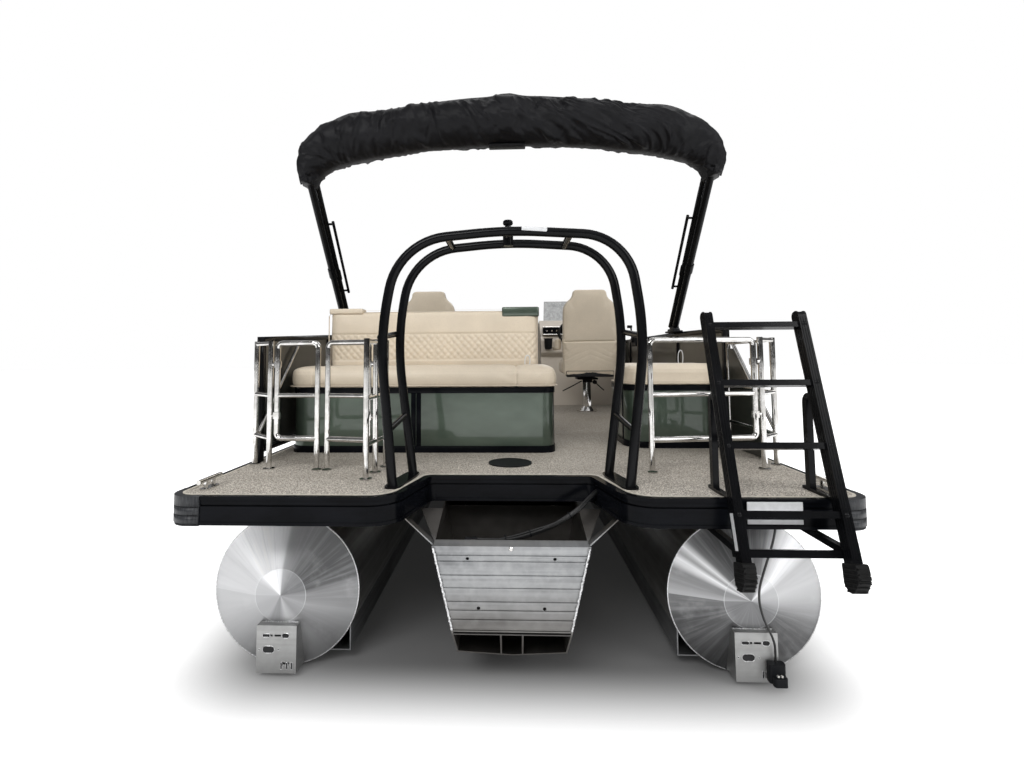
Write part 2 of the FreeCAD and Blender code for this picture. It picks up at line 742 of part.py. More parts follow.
hinge_radius = 6.0
hinge_stand = fence_tube / 2 + 6.0
side_gate = (3480.0, 4150.0)
bow_corner_x = fence_half - 293.0
diagonal_aft = bow_fence_y - 540.0
fence_runs = {
    "port": [((-fence_half, fence_aft_port), (-fence_half, side_gate[0] - door_clearance), (0.34, 0.67)),
             ((-fence_half, side_gate[1] + door_clearance), (-fence_half, diagonal_aft), (0.5,)),
             ((-fence_half + 11, diagonal_aft + 27), (-bow_corner_x - 23, bow_fence_y - 12), ()),
             ((-bow_corner_x, bow_fence_y), (-bow_gate_half - door_clearance, bow_fence_y), ())],
    "starboard": [((fence_half, fence_aft_starboard), (fence_half, side_gate[0]), (0.36, 0.68)),
                  ((fence_half, side_gate[0]), (fence_half, diagonal_aft), (0.28, 0.64)),
                  ((fence_half - 11, diagonal_aft + 27), (bow_corner_x + 23, bow_fence_y - 12), ()),
                  ((bow_corner_x, bow_fence_y), (bow_gate_half + door_clearance, bow_fence_y), ())]}


# Furniture
def seat_base(x, y, radius, lid_x, lid_y):
    """A hollow storage base whose top has a hatch under the lifting cushion."""
    z = (deck_top, deck_top + base_height)
    w = base_wall
    hollow = slab(block_plan((x[0] + w, x[1] - w), (y[0] + w, y[1] - w), max(radius - w, 5)), (z[0] + w, z[1] - w))
    hatch_x = (max(lid_x[0] + lid_rim, x[0] + w), min(lid_x[1] - lid_rim, x[1] - w))
    hatch_y = (max(lid_y[0] + lid_rim, y[0] + w), min(lid_y[1] - lid_rim, y[1] - w))
    hatch = slab(block_plan(hatch_x, hatch_y, 45), (z[1] - w - 1, z[1] + 1))
    return slab(block_plan(x, y, radius), z).cut(hollow).cut(hatch)


def cushion(x, y, z, plan_radius, edge_radius):
    """A padded block; its roundings stay within half of its narrower side."""
    half = min(abs(x[1] - x[0]), abs(y[1] - y[0])) / 2
    corner = min(plan_radius, corner_share * half)
    body = slab(block_plan(x, y, corner), z)
    return rounded(body, min(edge_radius, edge_share * corner), level_edge(max(z)))


seat_low = deck_top + base_height + seat_gap
seat_high = seat_low + cushion_thickness
lounge_x = (15.0 - bench_side, 241.0)
lounge_y = (905.0, 1395.0)
starboard_seat_x = (665.0, bench_side - 5.0)
starboard_seat_y = (1050.0, 1560.0)
bow_seat_front = bow_fence_y - 480.0
bow_port_y = (4250.0, bow_seat_front)
bow_starboard_y = (4760.0, bow_seat_front)
bow_seat_x = (640.0, bench_side - 15.0)


def chair(x):
    """A bucket seat facing forward; its swivel stands on the pedestal."""
    low = deck_top + chair_seat_height
    slide = box((x - 130, x + 130), (chair_y - 130, chair_y + 150), (low, low + 28))
    swivel = Part.makeCylinder(60, 12, Vector(x, chair_y, low - 12))
    pan = slab(block_plan((x - 258, x + 258), (chair_y - 150, chair_y + 265), 70), (low + 28, low + 150))
    pan = rounded(pan, 22, level_edge(low + 150))
    outline = [(-245, 0, 50), (245, 0, 50), (262, 250, 200), (256, 690, 90), (173, 740, 30), (152, 822, 28)]
    outline += [(-across, up, radius) for across, up, radius in reversed(outline[2:])]
    back = Part.Face(wire([(Vector(u, 0, v), radius) for u, v, radius in outline])).extrude(Vector(0, -chair_back, 0))
    back = back.cut(box((-215, 215), (-chair_back, 18 - chair_back), (14, 66)))
    back.rotate(Vector(0, 0, 0), Vector(1, 0, 0), chair_recline)
    back.translate(Vector(x, chair_y - 140, low - 2))
    arms = []
    for side in (-1, 1):
        arm = slab(block_plan(sorted((x + side * 252, x + side * 312)), (chair_y - 205, chair_y + 130), 25),
                   (deck_top + 575, deck_top + 690))
        arms.append(rounded(arm, 22, level_edge(deck_top + 690)))
    return fuse([slide, swivel]), fuse([pan, back] + arms)


def pedestal(x):
    foot = Part.makeCylinder(95, 8, Vector(x, chair_y, deck_top))
    cone = Part.makeCone(62, 38, 40, Vector(x, chair_y, deck_top + 8))
    stem = Part.makeCylinder(38, chair_seat_height - 12 - running_gap - 48, Vector(x, chair_y, deck_top + 48))
    return fuse([foot, cone, stem])


def throttle_control():
    """The engine's control box on the side wall beside the helm chair, with its lever."""
    z = deck_top + 610
    body = box((fence_inside - 55, fence_inside), (chair_y - 90, chair_y + 70), (z, z + 120))
    body = rounded(body, 12, lambda edge: edge.BoundBox.XMax < fence_inside - 54)
    hub = Part.makeCylinder(24, 20, Vector(fence_inside - 55, chair_y, z + 60), Vector(-1, 0, 0))
    arm = rod(Vector(fence_inside - 66, chair_y, z + 60), Vector(fence_inside - 66, chair_y + 35, z + 190), 8)
    grip = rod(Vector(fence_inside - 56, chair_y + 35, z + 190), Vector(fence_inside - 100, chair_y + 35, z + 190), 14)
    return fuse([body, hub, arm, grip])


# Helm console: side view rows are (y, z, radius)
console_x = (345.0, bench_side - 15.0)
console_aft = 3640.0


def console():
    z = deck_top
    view = [(console_aft + 60, z, 0), (console_aft + 900, z, 0), (console_aft + 900, z + 520, 60),
            (console_aft + 560, z + 900, 40), (console_aft + 330, z + 930, 40), (console_aft + 40, z + 700, 40),
            (console_aft + 30, z + 560, 20), (console_aft + 110, z + 520, 20)]
    lean = math.radians(90 - wheel_tilt)
    column_way = Vector(0, math.sin(lean), -math.cos(lean))
    column = Part.makeCylinder(30, 130, wheel_centre + column_way * (78 + running_gap), column_way)
    return profile_x(view, console_x).fuse(column).removeSplitter()


def windscreen():
    z = deck_top
    view = [(console_aft + 520, z + 905.5, 0), (console_aft + 526, z + 904.7, 0),
            (console_aft + 396, z + 1150, 0), (console_aft + 390, z + 1150, 0)]
    return profile_x(view, (console_x[0] + 60, console_x[1] - 60))


wheel_centre = Vector(700, console_aft - 20, deck_top + 760)
wheel_tilt = 32.0


def steering_wheel():
    rim = Part.makeTorus(165, 14)
    hub = Part.makeCylinder(38, 26, Vector(0, 0, -18))
    stub = Part.makeCylinder(14, 60, Vector(0, 0, -78))
    spokes = []
    for angle in (90, 210, 330):
        a = math.radians(angle)
        spokes.append(rod(Vector(30 * math.cos(a), 30 * math.sin(a), -6),
                          Vector(160 * math.cos(a), 160 * math.sin(a), 0), 9))
    wheel = fuse([rim, hub, stub] + spokes)
    wheel.Placement = Placement(wheel_centre, Rotation(Vector(1, 0, 0), 90 - wheel_tilt))
    return wheel


# Boarding ladder, laid out along its own slope: u across, v out from the slope, s up the slope
def on_slope(shape):
    """Tips a ladder piece from upright to its lean, about the point where it passes the deck's top."""
    return shape.rotated(Vector(0, 0, 0), Vector(1, 0, 0), -ladder_lean).translated(
        Vector(0, ladder_at_deck, deck_top))


def ladder_slide():
    """The sliding section: two channels open towards the boat, joined by treads."""
    pieces = []
    half = stringer_depth / 2
    for inner, side in ((ladder_left, -1), (ladder_right, 1)):
        x = (inner, inner + side * stringer_width)
        web = (min(x) + stringer_sheet, max(x) - stringer_sheet)
        channel = box(x, (-half, half), (stringer_low, stringer_high))
        channel = channel.cut(box(web, (-half + stringer_sheet, half), (stringer_low, stringer_high)))
        outline = profile_x([(-half, stringer_low, 0), (-half, stringer_high, 20), (half, stringer_high, 20),
                             (half, stringer_low, 0)], x)
        pieces.append(channel.common(outline))
    for i in range(4):
        s = 668 - i * tread_pitch
        pieces.append(box((ladder_left, ladder_right), (-tread_depth / 2, tread_depth / 2), (s - tread_height, s)))
    return on_slope(fuse(pieces))


def ladder_shoes():
    """Ribbed rubber rockers around the sliding channels' lower ends."""
    half = stringer_depth / 2
    low = stringer_low
    shoes = []
    for inner, side in ((ladder_left, -1), (ladder_right, 1)):
        x = (inner - side * 3, inner + side * (stringer_width + 6))
        view = [(-half - 18, low, 10), (-half - 18, low - 50, 30), (half - 14, low - 105, 30),
                (half + 22, low - 70, 25), (half + 10, low, 10)]
        shoe = profile_x(view, x)
        for i in range(5):
            z = low - 14 - i * 16
            shoe = shoe.cut(box(x, (-half - 30, -half - 12), (z - 5, z)))
        shoes.append(shoe)
    return on_slope(group(shoes))


def ladder_frame():
    """The fixed section: guide bars inside the channels, deck plates, hand loops, lower step and arms."""
    pieces = []
    guide_v = (-stringer_depth / 2 + stringer_sheet + slide_clearance, stringer_depth / 2 + 5)
    lean = math.radians(ladder_lean)
    for inner, side in ((ladder_left, -1), (ladder_right, 1)):
        x = (inner + side * (stringer_sheet + slide_clearance),
             inner + side * (stringer_width - stringer_sheet - slide_clearance))
        guide = on_slope(box(x, guide_v, (guide_low, guide_high)))
        front = ladder_at_deck + guide_v[1] / math.cos(lean)
        top = deck_top + loop_top
        plate = box(x, (front - 6, 165), (deck_top + 4, deck_top + 12))
        foot = box(x, (bumper_depth + 5, 165), (deck_top, deck_top + 5))
        leg = profile_x([(112, deck_top, 0), (112, top - loop_bar, 0), (front + 80, top - loop_bar, 0), (front + 80, top, 0),
                         (140, top, 40), (140, deck_top, 0)], x)
        arm_z = (deck_top - 168, deck_top - 144)
        arm = box(x, (ladder_at_deck - arm_reach, 282), arm_z)
        strut = box(x, (236, 252), (arm_z[0], member_low))
        pieces += [guide, plate, foot, leg, arm, strut]
    step = on_slope(box((ladder_left - 20, ladder_right + 20), (stringer_depth / 2 + 6, stringer_depth / 2 + 56),
                        (fixed_step - 26, fixed_step)))
    return fuse(pieces + [step])


# Sun shade folded aft, in its boot
def bimini_frame():
    """Two pairs of poles from the pivots up into the boot, joined by a plate at each pivot."""
    sides = []
    pivot_z = deck_top + bimini_pivot_z
    above = box((-half_beam, half_beam), (0, deck_length), (0, deck_top + boot_end))
    for side in (-1, 1):
        foot_x = side * bimini_half
        poles = []
        for way in (-1, 1):
            top = Vector(side * bimini_top_half, boot_y + way * pole_gap / 2, deck_top + boot_end + 40)
            foot = Vector(foot_x, bimini_pivot_y - (pole_gap if way < 0 else 0), pivot_z)
            poles.append(rod(foot, top, bimini_tube / 2))
        link = box((foot_x - 6, foot_x + 6), (bimini_pivot_y - pole_gap, bimini_pivot_y), (pivot_z - 12, pivot_z + 12))
        hub = Part.makeCylinder(24, 20, Vector(foot_x - 10, bimini_pivot_y, pivot_z), Vector(1, 0, 0))
        bore = Part.makeCylinder(pivot_pin_radius + running_gap, 80,
                                 Vector(foot_x - 40, bimini_pivot_y, pivot_z), Vector(1, 0, 0))
        sides.append(fuse(poles + [link, hub]).common(above).cut(bore))
    return group(sides)


def bimini_boot():
    """The cover around the folded hoops, narrow where it comes down at both sides."""
    rows = [(0, 1874, 0, 138, 142), (500, 1852, -6, 140, 142), (880, 1793, -14, 138, 140), (1062, 1733, -30, 128, 134),
            (1138, 1664, -50, 104, 124), (boot_side - 16, 1602, -68, 78, 114), (boot_side - 16, 1545, -82, 52, 102),
            (boot_side - 20, boot_end, -90, 36, 94)]  # (x, z, slope, half height, half width)
    rings = []
    for side in (-1, 1):
        half = []
        for x, z, slope, high, wide in rows:
            upward = Rotation(Vector(0, 1, 0), -side * slope).multVec(Vector(0, 0, 1))
            ring = Part.Ellipse(Vector(0, 0, 0), wide, high).toShape()
            ring.Placement = Placement(Vector(side * x, boot_y, deck_top + z),
                                       Rotation(Vector(0, 1, 0), upward, Vector(0, 0, 0), "XYZ"))
            half.append(Part.Wire([ring]))
        rings = list(reversed(half)) + rings if side < 0 else rings + half[1:]
    return Part.makeLoft(rings, True, False)


def bimini_mounts():
    """Brackets on the fence tops, each with the pin that a pair of poles turns on."""
    fence_z = deck_top + fence_top
    pivot_z = deck_top + bimini_pivot_z
    base = box((fence_half - 16, fence_half + 16), (bimini_pivot_y - 60, bimini_pivot_y + 60), (fence_z, fence_z + 8))
    ear = box((fence_half + 1, fence_half + 10), (bimini_pivot_y - 20, bimini_pivot_y + 20), (fence_z + 6, pivot_z + 20))
    pin = rod(Vector(bimini_half - 22, bimini_pivot_y, pivot_z), Vector(fence_half + 4, bimini_pivot_y, pivot_z),
              pivot_pin_radius)
    bracket = fuse([base, ear, pin])
    return group([bracket, mirrored(bracket)])


tubes = {"port": tube(-tube_x), "starboard": tube(tube_x)}
nodes["tube_port"] = tubes["port"]
nodes["tube_starboard"] = tubes["starboard"]
nodes["strakes"] = group([strake(), mirrored(strake())])
nodes["risers"] = group([riser(), mirrored(riser())])
nodes["cross_members"] = cross_members()
nodes["deck"] = deck()
nodes["edge_bumper"] = edge_bumper().cut(rigging_hole())
nodes["corner_caps"] = corner_caps()
nodes["deck_plate"] = deck_plate()
nodes["cleats"] = group([cleat(x, y) for x in (-cleat_x, cleat_x) for y in cleat_y])
nodes["motor_pod"] = pod()
nodes["transom_plate"] = transom()
nodes["sonar_brackets"] = group([transducer_bracket(-tube_x), transducer_bracket(tube_x)])
nodes["sonar_transducer"] = sonar_transducer()
nodes["sonar_cable"] = sonar_cable()
nodes["rigging_cable"] = rigging_cable()
nodes["tow_arch"] = tow_arch()
nodes["tow_knob"] = tow_knob()
nodes["stern_rail_port"] = stern_rail_port()
nodes["stern_rail_starboard"] = stern_rail_starboard()
for name in gate_leaves:
    nodes["gate_" + name] = leaf(name)
for name, runs in fence_runs.items():
    nodes["fence_" + name] = group([piece for run in runs for piece in fence_section(*run)])
    nodes["fence_panels_" + name] = group([piece for run in runs for piece in fence_section(*run, True)])
bow_gate_run = ((-bow_gate_half, bow_fence_y), (bow_gate_half, bow_fence_y), ())
side_gate_run = ((-fence_half, side_gate[0]), (-fence_half, side_gate[1]), ())
leaf_way = door_clearance / 2 + 10
bow_gate_axis = (-bow_gate_half - door_clearance / 2, bow_fence_y - hinge_stand)
side_gate_axis = (-fence_half + hinge_stand, side_gate[1] + door_clearance / 2)
bow_fixed, bow_moving = barrel_hinges(bow_gate_axis, (leaf_way, 7), (-leaf_way, 7))
side_fixed, side_moving = barrel_hinges(side_gate_axis, (-7, -leaf_way), (-7, leaf_way))
nodes["fence_port"] = group([fuse([piece] + [hinge for hinge in bow_fixed + side_fixed
                                             if hinge.distToShape(piece)[0] < 0.001])
                             for piece in nodes["fence_port"].Solids])
nodes["bow_gate"] = group([fuse(fence_section(*bow_gate_run, False, fence_low + 1) + bow_moving)])
quarter = quarter_panel().cut(nodes["stern_rail_starboard"])
nodes["fence_panels_starboard"] = group([nodes["fence_panels_starboard"], quarter])
nodes["bow_gate_panel"] = group(fence_section(*bow_gate_run, True, fence_low + 1))
nodes["side_gate"] = group([fuse(fence_section(*side_gate_run, False, fence_low + 1) + side_moving)])
nodes["side_gate_panel"] = group(fence_section(*side_gate_run, True, fence_low + 1))
lounge_lid = ((lounge_x[0] - 15, lounge_x[1] + 22), (lounge_y[0] - 35, lounge_y[1] - 165))
stern_lid = ((starboard_seat_x[0] - 15, starboard_seat_x[1] + 5), (starboard_seat_y[0] - 35, starboard_seat_y[1] - 25))
seat_z = (seat_low, seat_high)
nodes["lounge_base"] = seat_base(lounge_x, lounge_y, 70, *lounge_lid)
nodes["lounge_cushion"] = cushion(*lounge_lid, seat_z, 60, 25)
nodes["lounge_back"] = cushion((lounge_x[0] + 70, lounge_x[1] - 43), (lounge_y[1] - 150, lounge_y[1] - 20), (seat_low, deck_top + lounge_back_top), 50, 25)
nodes["stern_seat_base"] = seat_base(starboard_seat_x, starboard_seat_y, 110, *stern_lid)
nodes["stern_seat_cushion"] = cushion(*stern_lid, seat_z, 110, 25)
for name, side, span in (("port", -1, bow_port_y), ("starboard", 1, bow_starboard_y)):
    x = sorted((side * bow_seat_x[0], side * bow_seat_x[1]))
    outer = sorted((side * (bow_seat_x[1] - 130), side * (bow_seat_x[1] - 2)))
    seat = sorted((side * (bow_seat_x[0] - 10), side * (bow_seat_x[1] - 135)))
    seat_y = (span[0] + 150, span[1] + 10)
    nodes["bow_base_" + name] = seat_base(x, span, 60, seat, seat_y)
    nodes["bow_cushion_" + name] = cushion(seat, seat_y, seat_z, 60, 25)
    back = cushion(outer, (span[0] + 5, span[1] - 5), (seat_low, deck_top + bow_back_top), 40, 20)
    chaise = cushion((min(seat), max(seat)), (span[0] + 5, span[0] + 145), (seat_low, deck_top + bow_back_top), 40, 20)
    nodes["bow_backs_" + name] = group([back, chaise])
for name, x in (("helm", chair_x), ("port", -chair_x)):
    nodes[name + "_chair_slide"], nodes[name + "_chair_seat"] = chair(x)
    nodes[name + "_pedestal"] = pedestal(x)
nodes["throttle_control"] = throttle_control()
nodes["console"] = console()
nodes["windscreen"] = windscreen()
nodes["steering_wheel"] = steering_wheel()
nodes["ladder_frame"] = ladder_frame()
nodes["ladder_slide"] = ladder_slide()
nodes["ladder_shoes"] = ladder_shoes()
nodes["bimini_frame"] = bimini_frame()
nodes["bimini_boot"] = bimini_boot()
nodes["bimini_mounts"] = bimini_mounts()

whole = Part.makeCompound(list(nodes.values())).optimalBoundingBox(False)
origin_y = (whole.YMin + whole.YMax) / 2
os.makedirs("parts", exist_ok=True)
for name, shape in nodes.items():
    shape.translate(Vector(0, -origin_y, 0))
    shape.exportStep("parts/" + name + ".step")
    limits = shape.optimalBoundingBox(False)
    print(f"{name:22s} solids {len(shape.Solids)} valid {shape.isValid()} volume {shape.Volume / 1e9:.4f} m3"
          f" x {limits.XMin:.0f}..{limits.XMax:.0f} y {limits.YMin:.0f}..{limits.YMax:.0f}"
          f" z {limits.ZMin:.0f}..{limits.ZMax:.0f}")
print("origin is", round(origin_y, 3), "mm forward of the deck's aft edge")
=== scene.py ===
import math
import bpy
import bmesh
from mathutils import Matrix, Vector, noise


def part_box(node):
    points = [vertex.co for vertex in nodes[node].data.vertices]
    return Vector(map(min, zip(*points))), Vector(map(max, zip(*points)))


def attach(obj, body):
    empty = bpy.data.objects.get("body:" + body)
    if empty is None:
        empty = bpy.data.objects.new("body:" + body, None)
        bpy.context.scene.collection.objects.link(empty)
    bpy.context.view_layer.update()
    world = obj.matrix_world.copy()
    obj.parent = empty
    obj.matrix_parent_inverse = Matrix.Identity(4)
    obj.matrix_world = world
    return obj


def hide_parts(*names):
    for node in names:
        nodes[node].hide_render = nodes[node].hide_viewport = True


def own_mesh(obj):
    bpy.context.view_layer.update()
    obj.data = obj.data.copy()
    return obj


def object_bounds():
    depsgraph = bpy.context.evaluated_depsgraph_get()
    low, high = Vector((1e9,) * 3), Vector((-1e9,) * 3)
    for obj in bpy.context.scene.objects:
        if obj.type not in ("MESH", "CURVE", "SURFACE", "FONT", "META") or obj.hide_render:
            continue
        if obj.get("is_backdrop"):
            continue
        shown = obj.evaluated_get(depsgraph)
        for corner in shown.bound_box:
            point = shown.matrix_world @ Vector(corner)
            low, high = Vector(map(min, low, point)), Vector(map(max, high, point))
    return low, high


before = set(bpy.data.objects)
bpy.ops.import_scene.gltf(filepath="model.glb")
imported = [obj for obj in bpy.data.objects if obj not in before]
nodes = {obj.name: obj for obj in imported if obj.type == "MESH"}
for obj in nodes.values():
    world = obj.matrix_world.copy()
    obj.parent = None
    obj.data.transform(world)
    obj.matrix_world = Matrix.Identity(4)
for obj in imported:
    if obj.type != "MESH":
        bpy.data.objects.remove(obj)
cadLow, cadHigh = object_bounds()
scene = bpy.context.scene
scene.view_settings.view_transform = "Standard"
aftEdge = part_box("edge_bumper")[0].y  # the bumper's aft face
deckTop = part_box("deck")[1].z
print("frame loaded", len(nodes), "nodes")


# Camera
viewpoint = dict(eye=(0.0, -1.932, 0.511), yawLeft=2.38, pitchUp=3.88, roll=0.38, lens=18.225,
                 shift=(0.0241, -0.060))


def makeCamera():
    yaw, pitch, roll = (math.radians(viewpoint[key]) for key in ("yawLeft", "pitchUp", "roll"))
    ahead = Vector((-math.sin(yaw) * math.cos(pitch), math.cos(yaw) * math.cos(pitch), math.sin(pitch)))
    level = Vector((math.cos(yaw), math.sin(yaw), 0))
    above = level.cross(ahead)
    right = level * math.cos(roll) - above * math.sin(roll)
    up = level * math.sin(roll) + above * math.cos(roll)
    lensData = bpy.data.cameras.new("camera")
    lensData.lens = viewpoint["lens"]
    lensData.shift_x, lensData.shift_y = viewpoint["shift"]
    lensData.clip_start, lensData.clip_end = 0.05, 100
    camera = bpy.data.objects.new("camera", lensData)
    scene.collection.objects.link(camera)
    x, y, z = viewpoint["eye"]
    turn = Matrix((right, up, -ahead)).transposed().to_4x4()
    camera.matrix_world = Matrix.Translation((x, y + aftEdge, z + deckTop)) @ turn
    scene.camera = camera


makeCamera()


# Finishes: a Field wraps a socket, and arithmetic on it adds Math nodes
class Field:
    def __init__(self, finish, socket):
        self.finish, self.socket = finish, socket

    def work(self, operation, *values):
        return self.finish.add("ShaderNodeMath", {"operation": operation}, dict(enumerate(values)))

    def __add__(self, other):
        return self.work("ADD", self, other)

    __radd__ = __add__

    def __mul__(self, other):
        return self.work("MULTIPLY", self, other)

    __rmul__ = __mul__

    def __sub__(self, other):
        return self.work("SUBTRACT", self, other)

    def __rsub__(self, other):
        return self.work("SUBTRACT", other, self)

    def __truediv__(self, other):
        return self.work("DIVIDE", self, other)

    def __pow__(self, other):
        return self.work("POWER", self, other)

    def above(self, edge):
        return self.work("GREATER_THAN", self, edge)

    def below(self, edge):
        return self.work("LESS_THAN", self, edge)

    def sine(self):
        return self.work("SINE", self)

    def size(self):
        return self.work("ABSOLUTE", self)

    def ramp(self, low, high):  # 0 below low, 1 above high, smooth between
        settings = {"interpolation_type": "SMOOTHSTEP"}
        return self.finish.add("ShaderNodeMapRange", settings, {"Value": self, "From Min": low, "From Max": high})


class Finish:
    def __init__(self, name, colour, roughness=0.5, metallic=0.0, **fixed):
        self.material = bpy.data.materials.new(name)
        self.material.use_nodes = True
        self.tree = self.material.node_tree
        self.shader = next(node for node in self.tree.nodes if node.type == "BSDF_PRINCIPLED")
        self.shader.inputs["Base Color"].default_value = (*colour, 1)
        self.shader.inputs["Roughness"].default_value = roughness
        self.shader.inputs["Metallic"].default_value = metallic
        for key, value in fixed.items():
            self.shader.inputs[key.replace("_", " ")].default_value = value
        self.material.diffuse_color = (*colour, 1)

    def add(self, kind, settings=None, inputs=None, output=0):
        node = self.tree.nodes.new(kind)
        for key, value in (settings or {}).items():
            if key == "stops":
                for index, (place, colour) in enumerate(value):
                    stops = node.color_ramp.elements
                    stop = stops[index] if index < len(stops) else stops.new(place)
                    stop.position, stop.color = place, (*colour, 1)
            else:
                setattr(node, key, value)
        for key, value in (inputs or {}).items():
            if isinstance(value, Field):
                self.tree.links.new(value.socket, node.inputs[key])
            elif value is not None:
                node.inputs[key].default_value = value
        return Field(self, node.outputs[output])

    def place(self):
        return self.add("ShaderNodeTexCoord", output="Object")

    def scaled(self, scale, turn=(0, 0, 0), move=(0, 0, 0)):
        angles = [math.radians(angle) for angle in turn]
        return self.add("ShaderNodeMapping", None,
                        {"Vector": self.place(), "Scale": scale, "Rotation": angles, "Location": move})

    def parts(self, vector=None):
        vector = vector or self.place()
        return [self.add("ShaderNodeSeparateXYZ", None, {0: vector}, output=axis) for axis in range(3)]

    def grain(self, scale, detail=3.0, stretch=(1, 1, 1), roughness=0.55):
        inputs = {"Vector": self.scaled(stretch), "Scale": scale, "Detail": detail, "Roughness": roughness}
        return self.add("ShaderNodeTexNoise", None, inputs)

    def cells(self, scale, feature="F1", stretch=(1, 1, 1), vector=None):
        inputs = {"Vector": vector or self.scaled(stretch), "Scale": scale}
        return self.add("ShaderNodeTexVoronoi", {"feature": feature}, inputs)

    def mix(self, share, first, second):
        pair = [value if isinstance(value, Field) else (*value, 1) for value in (first, second)]
        return self.add("ShaderNodeMix", {"data_type": "RGBA"}, {0: share, 6: pair[0], 7: pair[1]}, output=2)

    def set(self, key, value):
        self.tree.links.new(value.socket, self.shader.inputs[key])

    def bump(self, height, distance, strength=1.0):
        inputs = {"Height": height, "Distance": distance, "Strength": strength}
        self.set("Normal", self.add("ShaderNodeBump", None, inputs))


def weathered(finish, colour, spread, roughness, change, scale=9.0, stretch=(1, 1, 1)):
    # slow variation of a colour and its gloss over a piece
    slow = finish.grain(scale, 4, stretch)
    dark = tuple(channel * (1 - spread) for channel in colour)
    light = tuple(min(1, channel * (1 + spread)) for channel in colour)
    finish.set("Base Color", finish.mix(slow.ramp(0.3, 0.7), dark, light))
    finish.set("Roughness", roughness + (finish.grain(scale * 6, 3, stretch) - 0.5) * change)
    return slow


# painted shade: the mill metal forward of the transom and between the tubes, under the deck, darkens to a dull
# brown
millShade = dict(forward=(-3.235, -3.16), half=0.70, paintedShade=(0.10, 0.088, 0.075))


def millAluminium():
    finish = Finish("millAluminium", (0.60, 0.61, 0.62), 0.42, 1.0)
    streaks = finish.grain(30, 4, (1, 0.04, 1))
    clouds = finish.grain(3.5, 4)
    smear = finish.grain(14, 5, (1.3, 0.5, 1))
    x, y = finish.parts()[:2]
    bands = finish.grain(34, 3, (0.02, 0.02, 1))
    tone = finish.mix(clouds.ramp(0.3, 0.7), (0.19, 0.195, 0.20), (0.31, 0.315, 0.32))
    tone = finish.mix(bands.ramp(0.42, 0.62) * 0.40, tone, (0.42, 0.43, 0.435))
    tone = finish.mix(streaks.ramp(0.35, 0.75) * 0.3, tone, (0.46, 0.465, 0.47))
    tone = finish.mix(x.size().above(0.8) * 0.45, tone, (0.52, 0.515, 0.50))
    # painted shade under the deck, forward of the transom and inboard of the tubes
    paintedShadeMask = y.ramp(*millShade["forward"]) * x.size().below(millShade["half"])
    finish.set("Base Color", finish.mix(paintedShadeMask * 0.8, tone, millShade["paintedShade"]))
    finish.set("Roughness", 0.34 + smear * 0.28)
    finish.bump(streaks * 0.6 + smear * 0.4, 0.0012, 0.35)
    return finish.material


# painted reflections on the brushed end caps, as light and dark wedges: (degrees clockwise from the top, tone)
paintedReflectionWedges = {
    -1: ((2, 0.72), (6, 0.36), (16, 0.27), (40, 0.14), (60, 0.10), (77, 0.10), (85, 0.20), (98, 0.23), (108, 0.33),
         (136, 0.26), (150, 0.40), (162, 0.50), (180, 0.22), (200, 0.24), (212, 0.42), (244, 0.42), (284, 0.50),
         (300, 0.58), (316, 1.0), (346, 1.0), (356, 0.86)),
    1: ((4, 0.11), (20, 0.14), (30, 0.42), (44, 1.0), (53, 0.86), (60, 0.51), (78, 0.46), (96, 0.33), (112, 0.18),
        (124, 0.12), (150, 0.12), (172, 0.15), (190, 0.13), (220, 0.15), (252, 0.10), (262, 0.14), (272, 0.33),
        (280, 0.22), (290, 0.21), (298, 0.85), (303, 0.30), (308, 0.84), (314, 0.18), (330, 0.10), (346, 0.10))}


